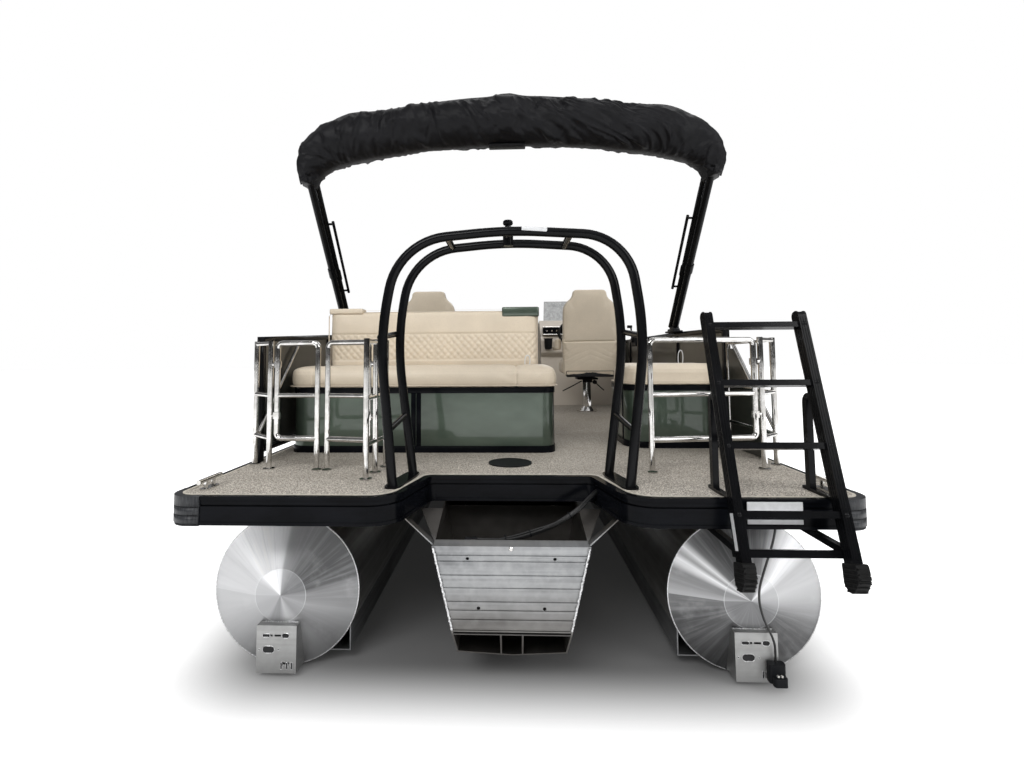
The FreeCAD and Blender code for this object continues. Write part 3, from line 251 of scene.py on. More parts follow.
def tubeAluminium(side):
    # a rolled tube whose flat aft cap is brushed round its middle, with painted reflection wedges on the cap
    centre = tubeShape["x"] * side
    finish = Finish("tubeAluminium" + ("Port" if side < 0 else "Starboard"), (0.6, 0.61, 0.62), 0.36, 1.0)
    x, y, z = finish.parts()
    across, up = x - centre, z - tubeShape["z"]
    angle = finish.add("ShaderNodeMath", {"operation": "ARCTAN2"}, {0: up, 1: across})
    reach = (across * across + up * up) ** 0.5
    turn = finish.add("ShaderNodeCombineXYZ", None,
                      {0: angle.sine(), 1: (angle + math.pi / 2).sine(), 2: reach * 0.25})
    fine = finish.add("ShaderNodeTexNoise", None, {"Vector": turn, "Scale": 16.0, "Detail": 4.0, "Roughness": 0.6})
    # the cap's light and dark wedges round its middle are painted reflection; a darker inner disc and the bright
    # ring mark are mixed into the same painted tone
    clock = [((0.75 - degrees / 360) % 1, (tone, tone * 1.005, tone * 1.02)) for degrees, tone in paintedReflectionWedges[side]]
    paintedReflectionTone = finish.add("ShaderNodeValToRGB", {"stops": sorted(clock)}, {0: angle / (2 * math.pi) + 0.5})
    paintedReflectionTone = finish.mix(fine.ramp(0.4, 0.75) * 0.3, paintedReflectionTone, (0.40, 0.405, 0.415))
    hazy = finish.grain(9, 5)
    paintedReflectionTone = finish.mix(hazy.ramp(0.55, 0.8) * 0.2, paintedReflectionTone, (0.62, 0.625, 0.63))
    ring = 1 - (reach - tubeShape["ring"]).size().ramp(0.0008, 0.0022)
    paintedReflectionTone = finish.mix(reach.below(tubeShape["ring"]) * 0.35, paintedReflectionTone, (0.27, 0.273, 0.28))
    paintedReflectionTone = finish.mix(ring * 0.28, paintedReflectionTone, (0.80, 0.81, 0.82))
    isCap = y.below(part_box("tube_port")[0].y + tubeShape["cap"] - 0.0005)
    streaks = finish.grain(26, 4, (1, 0.03, 1))
    clouds = finish.grain(2.6, 4)
    barrel = finish.mix(clouds.ramp(0.3, 0.7), (0.24, 0.235, 0.22), (0.38, 0.38, 0.37))
    barrel = finish.mix(streaks.ramp(0.4, 0.8) * 0.5, barrel, (0.66, 0.66, 0.66))
    finish.set("Base Color", finish.mix(isCap, barrel, paintedReflectionTone))
    finish.set("Roughness", 0.42 - isCap * 0.08 + (fine - 0.5) * 0.2)
    lathe = (reach * tubeShape["brush"]).sine() * 0.5 + fine
    finish.bump((1 - isCap) * streaks + isCap * lathe * 0.35 + ring * isCap * 0.4, 0.0008, 0.4)
    return finish.material


def wovenDeck():
    finish = Finish("wovenDeck", (0.33, 0.29, 0.24), 0.82)
    x, y = finish.parts()[:2]
    ribs = (y * weave["across"]).sine() * 0.5 + 0.5
    stitches = (x * weave["along"] + (y * weave["across"] * 0.5).sine() * 1.6).sine() * 0.5 + 0.5
    speckle = finish.grain(240, 2, (1, 0.55, 1))
    flecks = finish.grain(95, 3, (0.7, 1.6, 1))
    tracks = finish.grain(2.2, 4, (0.5, 1.5, 1))
    tone = finish.mix(speckle.ramp(0.38, 0.66), (0.19, 0.165, 0.135), (0.84, 0.785, 0.70))
    tone = finish.mix(flecks.ramp(0.48, 0.68) * 0.45, tone, (0.22, 0.19, 0.155))
    tone = finish.mix(tracks.ramp(0.42, 0.75) * 0.35, tone, (0.265, 0.232, 0.19))
    # painted shade: the deck darkens forward, under the seats
    tone = finish.mix(y.ramp(-3.05, -2.0) * 0.46, tone, (0.118, 0.097, 0.066))
    finish.set("Base Color", finish.mix(ribs * stitches * 0.28, tone, (0.74, 0.69, 0.61)))
    finish.set("Roughness", 0.72 + speckle * 0.2)
    finish.bump(ribs * stitches * 0.7 + speckle * 0.5, 0.0012, 0.6)
    return finish.material


def glossBlack():
    finish = Finish("glossBlack", (0.004, 0.0045, 0.006), 0.22, Specular_IOR_Level=0.055)
    weathered(finish, (0.004, 0.0045, 0.006), 0.35, 0.17, 0.08, 5, (1, 1, 3))
    finish.bump(finish.grain(420, 2), 0.0002, 0.25)
    return finish.material


def mouldedBlack():
    finish = Finish("mouldedBlack", (0.006, 0.006, 0.007), 0.45, Specular_IOR_Level=0.12)
    weathered(finish, (0.009, 0.0095, 0.011), 0.3, 0.46, 0.15, 14)
    finish.bump(finish.grain(900, 2), 0.0003, 0.5)
    return finish.material


def capGrey():
    finish = Finish("capGrey", (0.03, 0.031, 0.034), 0.38, Specular_IOR_Level=0.25)
    scuff = finish.grain(60, 5, (2.4, 0.6, 0.5))
    finish.set("Base Color", finish.mix(scuff.ramp(0.35, 0.75), (0.018, 0.019, 0.022), (0.055, 0.058, 0.062)))
    finish.set("Roughness", 0.3 + scuff * 0.22)
    finish.bump(finish.grain(700, 2) + scuff * 0.4, 0.0003, 0.5)
    return finish.material


def powderBlack():
    finish = Finish("powderBlack", (0.005, 0.0052, 0.006), 0.17, Specular_IOR_Level=0.10)
    weathered(finish, (0.005, 0.0052, 0.006), 0.25, 0.16, 0.08, 10)
    finish.bump(finish.grain(650, 2), 0.0003, 0.35)
    return finish.material


def polishedSteel():
    finish = Finish("polishedSteel", (0.72, 0.70, 0.68), 0.09, 1.0)
    smudge = finish.grain(22, 4)
    finish.set("Base Color", finish.mix(smudge.ramp(0.35, 0.7), (0.50, 0.49, 0.47), (0.72, 0.71, 0.695)))
    finish.set("Roughness", 0.06 + smudge.ramp(0.4, 0.8) * 0.14)
    finish.bump(finish.grain(300, 2, (1, 1, 0.1)), 0.0001, 0.2)
    return finish.material


def metallicGreen():
    finish = Finish("metallicGreen", (0.07, 0.10, 0.074), 0.3, 0.55, Coat_Weight=0.7, Coat_Roughness=0.05)
    flake = finish.cells(900)
    depth = finish.grain(2.5, 3, (1, 1, 2))
    tone = finish.mix(depth.ramp(0.3, 0.7), (0.056, 0.078, 0.058), (0.090, 0.122, 0.092))
    finish.set("Base Color", finish.mix(flake.below(0.16) * 0.4, tone, (0.19, 0.24, 0.19)))
    finish.set("Roughness", 0.26 + flake * 0.16)
    finish.bump(finish.grain(5, 2), 0.0015, 0.15)
    return finish.material


def fencePanel():
    # green outside, dark olive inside
    finish = Finish("fencePanel", (0.05, 0.05, 0.045), 0.4, 0.3, Coat_Weight=0.5, Coat_Roughness=0.12)
    x, y, z = finish.parts()
    outside = x.size().above(fenceShape["side"]) * y.below(fenceShape["bow"] - 0.02)
    outside = outside.work("MAXIMUM", outside, y.above(fenceShape["bow"]))
    ribs = (z * fenceShape["ribs"]).sine()
    slow = finish.grain(3, 3)
    inner = finish.mix(slow.ramp(0.3, 0.7), (0.022, 0.023, 0.020), (0.045, 0.046, 0.038))
    outer = finish.mix(slow.ramp(0.3, 0.7), (0.056, 0.078, 0.058), (0.090, 0.122, 0.092))
    finish.set("Base Color", finish.mix(outside, inner, outer))
    finish.set("Roughness", 0.3 + slow * 0.15)
    finish.bump(ribs * outside, 0.0012, 0.3)
    return finish.material


def creamVinyl(name="creamVinyl", colour=(0.74, 0.64, 0.50)):
    finish = Finish(name, colour, 0.46, Sheen_Weight=0.12, Sheen_Roughness=0.4, Coat_Weight=0.06,
                    Coat_Roughness=0.35)
    pores = finish.cells(520, "DISTANCE_TO_EDGE")
    pebble = finish.cells(190, "DISTANCE_TO_EDGE")
    slow = finish.grain(4.5, 4)
    dark = tuple(channel * 0.94 for channel in colour)
    light = tuple(min(1, channel * 1.05) for channel in colour)
    tone = finish.mix(slow.ramp(0.3, 0.7), dark, light)
    # painted shade: the pebble grain's valleys are darker
    valleyShade = tuple(channel * 0.87 for channel in colour)
    finish.set("Base Color", finish.mix(1 - pebble.ramp(0.0, 0.1), tone, valleyShade))
    finish.set("Roughness", 0.4 + slow * 0.14)
    creases = finish.grain(16, 5, (1, 1, 1.6))
    finish.bump(pebble.ramp(0, 0.25) * 0.5 + pores * 0.25 + creases * 0.9, 0.0016, 0.35)
    return finish.material


def bootCanvas():
    finish = Finish("bootCanvas", (0.006, 0.006, 0.007), 0.30, Specular_IOR_Level=0.13)
    x, y, z = finish.parts()
    warp, weft = (x * 5200).sine(), (z * 5200 + y * 4100).sine()
    lint = finish.grain(240, 3)
    slow = finish.grain(5, 4)
    tone = finish.mix(slow.ramp(0.3, 0.7), (0.004, 0.004, 0.005), (0.008, 0.008, 0.0095))
    finish.set("Base Color", finish.mix(lint.above(0.72) * 0.35, tone, (0.04, 0.04, 0.042)))
    finish.set("Roughness", 0.33 + slow * 0.12)
    folds = finish.grain(11, 4, (1.5, 1, 0.7))
    finish.bump(warp * weft * 0.05 + folds, 0.006, 0.35)
    return finish.material


def gelCoat():
    finish = Finish("gelCoat", (0.56, 0.50, 0.43), 0.3, Coat_Weight=0.4, Coat_Roughness=0.08)
    weathered(finish, (0.57, 0.515, 0.445), 0.05, 0.3, 0.08, 3)
    finish.bump(finish.grain(40, 3), 0.0006, 0.15)
    return finish.material


def smokedAcrylic():
    finish = Finish("smokedAcrylic", (0.30, 0.31, 0.31), 0.05, IOR=1.49, Transmission_Weight=0.85)
    haze = finish.grain(30, 4)
    finish.set("Roughness", 0.03 + haze * 0.05)
    finish.set("Base Color", finish.mix(haze.ramp(0.3, 0.7), (0.42, 0.43, 0.43), (0.56, 0.57, 0.57)))
    return finish.material


def gripRubber():
    finish = Finish("gripRubber", (0.006, 0.006, 0.006), 0.5, Specular_IOR_Level=0.13)
    weathered(finish, (0.009, 0.009, 0.009), 0.35, 0.58, 0.2, 20)
    finish.bump(finish.cells(700) + finish.grain(60, 3) * 0.6, 0.0006, 0.5)
    return finish.material


def weldMetal():
    finish = Finish("weldMetal", (0.66, 0.66, 0.67), 0.34, 1.0)
    ripple = finish.grain(160, 3)
    finish.set("Base Color", finish.mix(ripple.ramp(0.3, 0.7), (0.42, 0.42, 0.42), (0.82, 0.82, 0.83)))
    finish.set("Roughness", 0.22 + ripple * 0.3)
    finish.bump(ripple, 0.0012, 0.6)
    return finish.material


def paleEdging():
    finish = Finish("paleEdging", (0.62, 0.58, 0.50), 0.7)
    weathered(finish, (0.60, 0.56, 0.48), 0.14, 0.66, 0.15, 60)
    finish.bump(finish.grain(500, 2), 0.0005, 0.5)
    return finish.material


def blankLabel():
    finish = Finish("blankLabel", (0.72, 0.73, 0.74), 0.4)
    weathered(finish, (0.74, 0.75, 0.76), 0.06, 0.38, 0.1, 50)
    return finish.material


def darkInside():
    finish = Finish("darkInside", (0.01, 0.01, 0.01), 0.8)
    weathered(finish, (0.012, 0.012, 0.013), 0.3, 0.8, 0.1, 12)
    return finish.material


def colouredWire(name, colour):
    finish = Finish(name, colour, 0.4)
    weathered(finish, colour, 0.15, 0.4, 0.1, 80)
    return finish.material


tubeShape = dict(cap=0.068, ring=0.1085, brush=9000.0)
tubeLow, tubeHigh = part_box("tube_port")
tubeShape.update(x=-(tubeLow.x + tubeHigh.x) / 2, z=(tubeLow.z + tubeHigh.z) / 2)
weave = dict(across=2 * math.pi / 0.0062, along=2 * math.pi / 0.0085)
panelLow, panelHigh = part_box("side_gate_panel")
fenceShape = dict(side=-(panelLow.x + panelHigh.x) / 2, bow=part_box("bow_gate_panel")[1].y - 0.006,
                  ribs=2 * math.pi / 0.05)

finishes = dict(
    mill=millAluminium(), tubePort=tubeAluminium(-1), tubeStarboard=tubeAluminium(1), deck=wovenDeck(),
    gloss=glossBlack(), moulded=mouldedBlack(), cap=capGrey(), powder=powderBlack(), steel=polishedSteel(),
    green=metallicGreen(), panel=fencePanel(), cream=creamVinyl(), canvas=bootCanvas(), gel=gelCoat(),
    acrylic=smokedAcrylic(), grip=gripRubber(), weld=weldMetal(), edging=paleEdging(), label=blankLabel(),
    inside=darkInside(), piping=creamVinyl("creamPiping", (0.70, 0.60, 0.47)),
    wireBlack=colouredWire("wireBlack", (0.012, 0.012, 0.012)))

nodeFinishes = dict(
    mill=("strakes", "risers", "cross_members", "motor_pod", "transom_plate", "sonar_brackets"),
    tubePort=("tube_port",), tubeStarboard=("tube_starboard",), deck=("deck",), gloss=("edge_bumper",),
    cap=("corner_caps",),
    moulded=("deck_plate", "sonar_transducer", "tow_knob", "throttle_control", "bimini_mounts", "helm_chair_slide",
             "port_chair_slide"),
    powder=("tow_arch", "fence_port", "fence_starboard", "bow_gate", "side_gate", "ladder_frame", "ladder_slide",
            "bimini_frame"),
    steel=("cleats", "stern_rail_port", "stern_rail_starboard", "gate_port_outer", "gate_port_inner",
           "gate_starboard", "helm_pedestal", "port_pedestal"),
    green=("lounge_base", "stern_seat_base", "bow_base_port", "bow_base_starboard"),
    panel=("fence_panels_port", "fence_panels_starboard", "bow_gate_panel", "side_gate_panel"),
    cream=("lounge_cushion", "lounge_back", "stern_seat_cushion", "bow_cushion_port", "bow_cushion_starboard",
           "bow_backs_port", "bow_backs_starboard", "helm_chair_seat", "port_chair_seat"),
    canvas=("bimini_boot",), gel=("console",), acrylic=("windscreen",), grip=("steering_wheel", "ladder_shoes"),
    wireBlack=("sonar_cable", "rigging_cable"))

for key, members in nodeFinishes.items():
    for member in members:
        mesh = nodes[member].data
        mesh.materials.clear()
        mesh.materials.append(finishes[key])
print("finishes made", len(finishes))


# Mesh helpers
def addPiece(name, form, finish, body="boat", sharp=35):
    if isinstance(form, bmesh.types.BMesh):
        mesh = bpy.data.meshes.new(name)
        form.to_mesh(mesh)
        form.free()
    else:
        mesh = form
        mesh.name = name
    mesh.materials.clear()
    mesh.materials.append(finishes[finish])
    mesh.shade_smooth()
    mesh.set_sharp_from_angle(angle=math.radians(sharp))
    piece = bpy.data.objects.new(name, mesh)
    scene.collection.objects.link(piece)
    if body:
        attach(piece, body)
    return piece


def bevelEdges(bm, edges, offset, segments=3):
    bmesh.ops.bevel(bm, geom=list(edges), offset=offset, segments=segments, profile=0.5, affect="EDGES",
                    material=-1, clamp_overlap=True)


def rawBlock(low, high):
    bm = bmesh.new()
    bmesh.ops.create_cube(bm, size=1)
    bmesh.ops.scale(bm, vec=Vector(high) - Vector(low), verts=bm.verts)
    bmesh.ops.translate(bm, vec=(Vector(high) + Vector(low)) / 2, verts=bm.verts)
    return bm


def upright(edge):
    way = edge.verts[0].co - edge.verts[1].co
    return abs(way.z) > 0.99 * way.length


def roundedBlock(low, high, planRadius, edgeRadius, steps=10, both=True):
    # a block with rounded corners in plan and rounded rims
    bm = rawBlock(low, high)
    bevelEdges(bm, [edge for edge in bm.edges if upright(edge)], planRadius, steps)
    if edgeRadius:
        heights = (low[2], high[2]) if both else (high[2],)
        rims = [edge for edge in bm.edges
                if any(all(abs(corner.co.z - height) < 1e-5 for corner in edge.verts) for height in heights)]
        bevelEdges(bm, rims, edgeRadius, 3)
    return bm


def thicken(form, shift):
    # a flat form is given thickness along shift
    grown = bmesh.ops.extrude_face_region(form, geom=form.faces[:])
    moved = [part for part in grown["geom"] if isinstance(part, bmesh.types.BMVert)]
    bmesh.ops.translate(form, vec=shift, verts=moved)
    bmesh.ops.recalc_face_normals(form, faces=form.faces)


def mergedCopy(node):
    # a CAD node's loose triangles, joined in a copy
    form = bmesh.new()
    form.from_mesh(nodes[node].data)
    bmesh.ops.remove_doubles(form, verts=form.verts, dist=1e-5)
    return form


def standFor(node):
    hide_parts(node)


def softBox(low, high, edge=0.002, segments=2):
    bm = rawBlock(low, high)
    bevelEdges(bm, bm.edges, edge, segments)
    return bm


def wallBand(low, high, planRadius, thick, steps=12):
    # an upright band round a block's plan, standing proud of it
    bm = rawBlock(low, high)
    bevelEdges(bm, [edge for edge in bm.edges if upright(edge)], planRadius, steps)
    caps = [face for face in bm.faces if abs(face.normal.z) > 0.9]
    bmesh.ops.delete(bm, geom=caps, context="FACES_ONLY")
    bmesh.ops.recalc_face_normals(bm, faces=bm.faces)
    middle = (Vector(low) + Vector(high)) / 2
    if any((face.calc_center_median() - middle).dot(face.normal) < 0 for face in bm.faces):
        bmesh.ops.reverse_faces(bm, faces=bm.faces)
    bmesh.ops.solidify(bm, geom=bm.faces[:] , thickness=-thick)
    bmesh.ops.recalc_face_normals(bm, faces=bm.faces)
    return bm


def joined(forms):
    whole = bmesh.new()
    for form in forms:
        mesh = bpy.data.meshes.new("part")
        form.to_mesh(mesh)
        form.free()
        whole.from_mesh(mesh)
        bpy.data.meshes.remove(mesh)
    return whole


def lathe(profile, centre, axis=(0, 0, 1), steps=24):
    # a turned form: profile rows are (radius, height along the axis)
    bm = bmesh.new()
    corners = [bm.verts.new((radius, 0, height)) for radius, height in profile]
    edges = [bm.edges.new(pair) for pair in zip(corners, corners[1:])]
    bmesh.ops.spin(bm, geom=corners + edges, cent=(0, 0, 0), axis=(0, 0, 1), dvec=(0, 0, 0), angle=2 * math.pi,
                   steps=steps, use_merge=True)
    bmesh.ops.remove_doubles(bm, verts=bm.verts, dist=1e-5)
    bmesh.ops.recalc_face_normals(bm, faces=bm.faces)
    turn = Vector((0, 0, 1)).rotation_difference(Vector(axis)).to_matrix().to_4x4()
    bmesh.ops.transform(bm, matrix=Matrix.Translation(Vector(centre)) @ turn, verts=bm.verts)
    return bm


def curveOf(name, points, radius, kind="NURBS", closed=False, sides=4):
    curve = bpy.data.curves.new(name, "CURVE")
    curve.dimensions = "3D"
    spline = curve.splines.new(kind)
    spline.points.add(len(points) - 1)
    for point, place in zip(spline.points, points):
        point.co = (*place, 1)
    if kind == "NURBS":
        spline.order_u = 3
        spline.use_endpoint_u = not closed
        spline.resolution_u = 8
    spline.use_cyclic_u = closed
    curve.bevel_depth = radius
    curve.bevel_resolution = sides
    curve.use_fill_caps = not closed
    return curve


def meshOf(curve):
    holder = bpy.data.objects.new("holder", curve)
    scene.collection.objects.link(holder)
    bpy.context.view_layer.update()
    mesh = bpy.data.meshes.new_from_object(holder.evaluated_get(bpy.context.evaluated_depsgraph_get()))
    bpy.data.objects.remove(holder)
    return mesh


def bar(points, radius, kind="POLY", closed=False, sides=3):
    # a round bar, trim or piping through points
    form = bmesh.new()
    form.from_mesh(meshOf(curveOf("bar", points, radius, kind, closed, sides)))
    bmesh.ops.remove_doubles(form, verts=form.verts, dist=1e-6)
    bmesh.ops.recalc_face_normals(form, faces=form.faces)
    return form


def routePoints(points):
    return [tuple(vertex.co) for vertex in meshOf(curveOf("route", points, 0)).vertices]


def lengthOf(points):
    return sum((Vector(after) - Vector(before)).length for before, after in zip(points, points[1:]))


# Cords: routes are control points, with y from the bumper's aft face
sonarCord = dict(diameter=0.009, route=((1.010, 0.132, 0.708), (1.008, 0.134, 0.640), (0.976, 0.165, 0.500),
                                        (0.955, 0.190, 0.391), (0.978, 0.200, 0.290), (1.024, 0.212, 0.205),
                                        (1.040, 0.246, 0.128), (1.040, 0.246, 0.105)))
riggingCord = dict(diameter=0.026, strand=0.0052, around=0.0078, strands=5, twist=2.4, ties=(0.3, 0.62, 0.84),
                   route=((0.373, 0.330, 0.751), (0.330, 0.262, 0.742), (0.262, 0.226, 0.690),
                          (0.170, 0.222, 0.636), (0.092, 0.214, 0.612), (0.020, 0.196, 0.596),
                          (-0.060, 0.190, 0.590), (-0.150, 0.178, 0.588)),
                   plug=((0, 0), (0.014, 0.001), (0.0155, 0.006), (0.0155, 0.018), (0.0135, 0.02), (0.0135, 0.03),
                         (0.0165, 0.032), (0.0165, 0.048), (0.012, 0.052), (0, 0.052)),
                   tie=((0.0128, -0.0025), (0.0146, -0.0025), (0.0146, 0.0025), (0.0128, 0.0025),
                        (0.0128, -0.0025)))


def rowPoints(route):
    return [(x, y + aftEdge, z) for x, y, z in route]


def makeSonarCord():
    points = rowPoints(sonarCord["route"])
    curve = curveOf("sonarCord", points, sonarCord["diameter"] / 2)
    piece = bpy.data.objects.new("sonarCord", curve)
    scene.collection.objects.link(piece)
    curve.materials.append(finishes["wireBlack"])
    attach(piece, "boat")
    standFor("sonar_cable")
    round(lengthOf(routePoints(points)), 3)


def makeRiggingCord():
    points = rowPoints(riggingCord["route"])
    line = [Vector(point) for point in routePoints(points)]
    strands = []
    along = 0
    frames = []
    for index, point in enumerate(line):
        ahead = (line[min(index + 1, len(line) - 1)] - line[max(index - 1, 0)]).normalized()
        side = ahead.cross(Vector((0, 0, 1))).normalized()
        frames.append((point, side, ahead.cross(side), along))
        if index < len(line) - 1:
            along += (line[index + 1] - point).length
    for number in range(riggingCord["strands"]):
        start = 2 * math.pi * number / riggingCord["strands"]
        path = []
        for point, side, up, run in frames:
            angle = start + riggingCord["twist"] * math.sin(run * 5.0 + number) + run * riggingCord["twist"]
            reach = riggingCord["around"] * (0.92 + 0.08 * math.sin(run * 23 + number * 2.1))
            path.append(point + side * math.cos(angle) * reach + up * math.sin(angle) * reach)
        strands.append(bar(path, riggingCord["strand"], sides=2))
    bundle = addPiece("riggingBundle", joined(strands), "wireBlack")
    end, ahead = line[-1], (line[-1] - line[-4]).normalized()
    plug = lathe(riggingCord["plug"], end - ahead * 0.018, ahead)
    plugPiece = addPiece("riggingPlug", plug, "moulded")
    ties = []
    for share in riggingCord["ties"]:
        place, side, up, _ = frames[int(share * (len(frames) - 1))]
        ties.append(lathe(riggingCord["tie"], place, side.cross(up).normalized(), 16))
    tiePiece = addPiece("riggingTies", joined(ties), "moulded")
    standFor("rigging_cable")


makeSonarCord()
makeRiggingCord()
print("cords made")


# Soft pieces: a slightly small closed form is remeshed, blown up a little as cloth, and held within a cap
def looseMesh(name, form):
    mesh = bpy.data.meshes.new(name)
    form.to_mesh(mesh)
    form.free()
    piece = bpy.data.objects.new(name, mesh)
    scene.collection.objects.link(piece)
    return piece


def remeshed(piece, voxel):
    change = piece.modifiers.new("remesh", "REMESH")
    change.mode, change.voxel_size, change.adaptivity = "VOXEL", voxel, 0
    evaluated = piece.evaluated_get(bpy.context.evaluated_depsgraph_get())
    mesh = bpy.data.meshes.new_from_object(evaluated)
    piece.modifiers.clear()
    old, piece.data = piece.data, mesh
    bpy.data.meshes.remove(old)
    return piece


clothSettings = dict(quality=4, mass=0.25, tension_stiffness=12, compression_stiffness=12, shear_stiffness=4,
                     use_pressure=True)


def swell(piece, cap, pressure=4.0, held=None, frames=18, growth=0.0, bending=0.8):
    mesh = piece.data
    rest = [vertex.co.copy() for vertex in mesh.vertices]
    settings = piece.modifiers.new("Cloth", "CLOTH").settings
    for key, value in clothSettings.items():
        setattr(settings, key, value)
    settings.bending_stiffness = bending
    settings.shrink_min = -growth
    settings.uniform_pressure_force = pressure
    settings.effector_weights.gravity = 0
    if held is not None:
        group = piece.vertex_groups.new(name="held")
        for vertex in mesh.vertices:
            weight = held(vertex.co)
            if weight > 0:
                group.add([vertex.index], weight, "REPLACE")
        settings.vertex_group_mass = "held"
    cache = piece.modifiers["Cloth"].point_cache
    cache.frame_start, cache.frame_end = 1, frames
    for step in range(1, frames + 1):
        scene.frame_set(step)
    evaluated = piece.evaluated_get(bpy.context.evaluated_depsgraph_get())
    moved = [vertex.co.copy() for vertex in evaluated.data.vertices]
    piece.modifiers.clear()
    piece.vertex_groups.clear()
    for vertex, start, end in zip(mesh.vertices, rest, moved):
        shift = end - start
        if shift.length > cap:
            shift *= cap / shift.length
        vertex.co = start + shift
    scene.frame_set(1)
    return piece


def refine(piece):
    # one Catmull-Clark level, applied
    change = piece.modifiers.new("finer", "SUBSURF")
    change.levels = change.render_levels = 1
    fine = bpy.data.meshes.new_from_object(piece.evaluated_get(bpy.context.evaluated_depsgraph_get()))
    piece.modifiers.clear()
    coarse, piece.data = piece.data, fine
    bpy.data.meshes.remove(coarse)


def pressIn(mesh, depth, reachOf):
    # moves each vertex against its normal by depth times reachOf(place, normal)
    normals = [vertex.normal.copy() for vertex in mesh.vertices]
    for vertex, normal in zip(mesh.vertices, normals):
        amount = reachOf(vertex.co, normal)
        if amount:
            vertex.co -= normal * depth * amount
    mesh.update()


def finishSoft(piece, name, finish, body, replaced=()):
    piece.name = piece.data.name = name
    mesh = piece.data
    mesh.materials.clear()
    mesh.materials.append(finishes[finish])
    mesh.shade_smooth()
    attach(piece, body)
    if replaced:
        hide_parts(*replaced)
    return piece


def groove(distance, width):
    # 1 on the line, 0 a width away
    return max(0.0, 1 - abs(distance) / width) ** 2


def rimPoints(low, high, radius, z, steps=8, proud=0.0):
    # the plan outline of a rounded block at one height
    x0, x1, y0, y1 = low[0] - proud, high[0] + proud, low[1] - proud, high[1] + proud
    radius = radius + proud
    centres = ((x1 - radius, y1 - radius, 0), (x0 + radius, y1 - radius, 90), (x0 + radius, y0 + radius, 180),
               (x1 - radius, y0 + radius, 270))
    points = []
    for cx, cy, start in centres:
        for step in range(steps + 1):
            angle = math.radians(start + 90 * step / steps)
            points.append((cx + radius * math.cos(angle), cy + radius * math.sin(angle), z))
    return points


softSettings = dict(voxel=0.011, cap=0.011, shrink=0.007, pressure=5.0, foot=0.012)
seat = dict(rim=0.030, seam=0.010, seamHalf=0.008, boxed=(0.034, 0.006, 0.35), pucker=(0.030, 0.22), fill=0.75,
            depth=0.0055, piping=(0.011, 0.0035, 0.0032))


def shrunkPad(name, low, high, planRadius, edge):
    # a slightly small rounded block, remeshed and ready to swell
    shrink = softSettings["shrink"]
    inner = Vector((shrink, shrink, 0.0))
    form = roundedBlock(low + inner, high - inner - Vector((0, 0, shrink)), planRadius, edge, 8)
    return remeshed(looseMesh(name, form), softSettings["voxel"])


def flattenFoot(piece, floor):
    for vertex in piece.data.vertices:
        vertex.co.z = max(vertex.co.z, floor)


def seatPad(name, node, body, planRadius, seams=(), seamAxis=0):
    # a boxed seat cushion: seams are places of sewn joints across it
    low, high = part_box(node)
    piece = shrunkPad(name, low, high, planRadius, seat["rim"])

    def held(place):
        if place.z < low.z + softSettings["foot"]:
            return 1.0
        return 0.85 if any(abs(place[seamAxis] - seam) < seat["seamHalf"] for seam in seams) else 0.0

    swell(piece, softSettings["cap"], softSettings["pressure"], held)
    flattenFoot(piece, low.z)
    refine(piece)
    drop, width, strength = seat["boxed"]
    reach, height = seat["pucker"]

    def seamDepth(place, normal):
        deep = max([groove(place[seamAxis] - seam, seat["seam"]) for seam in seams] + [0.0])
        boxed = groove(place.z - (high.z - drop), width) * strength if abs(normal.z) < 0.75 else 0.0
        pucker, flat = 0.0, 1 if normal.z < 0.8 else 0.4
        for seam in seams:
            away = place[seamAxis] - seam
            along = place[1 - seamAxis] * 34 + place.z * 34
            pucker += math.exp(-abs(away) / reach) * height * math.sin(along * 2.2) * flat
        return deep + boxed + pucker + 0.30 * noise.noise(place * 7.0)

    pressIn(piece.data, seat["depth"], seamDepth)
    flattenFoot(piece, low.z)
    finishSoft(piece, name, "cream", body, (node,))
    rise, inward, thick = seat["piping"]
    cord = bar(rimPoints(low, high, planRadius, low.z + rise, 8, -inward), thick, closed=True, sides=2)
    addPiece(name + "Piping", cord, "piping", body)


# Lounge at the stern, its quilted back, the starboard seat and the two bow benches
quilt = dict(low=1.306, high=1.464, wide=0.0415, tall=0.0460, depth=0.0075, joints=(-0.458,), seam=0.008,
             top=0.022)
lounge = dict(seams=(-1.078, 0.038), plan=0.06, backPlan=0.05, backEdge=0.022, pipe=(0.045, 0.006, 0.012, 0.0032),
              patches=(("loungeBackPatch", (-0.042, 0.186), (1.565, 1.6255), "green"),
                       ("loungeBackTab", (-1.118, -0.905), (1.590, 1.6245), "cream")),
              wrap=(0.003, 0.085, 0.012, 0.010), loop=(0.11, 0.012, 0.058), loopKeep=0.12)


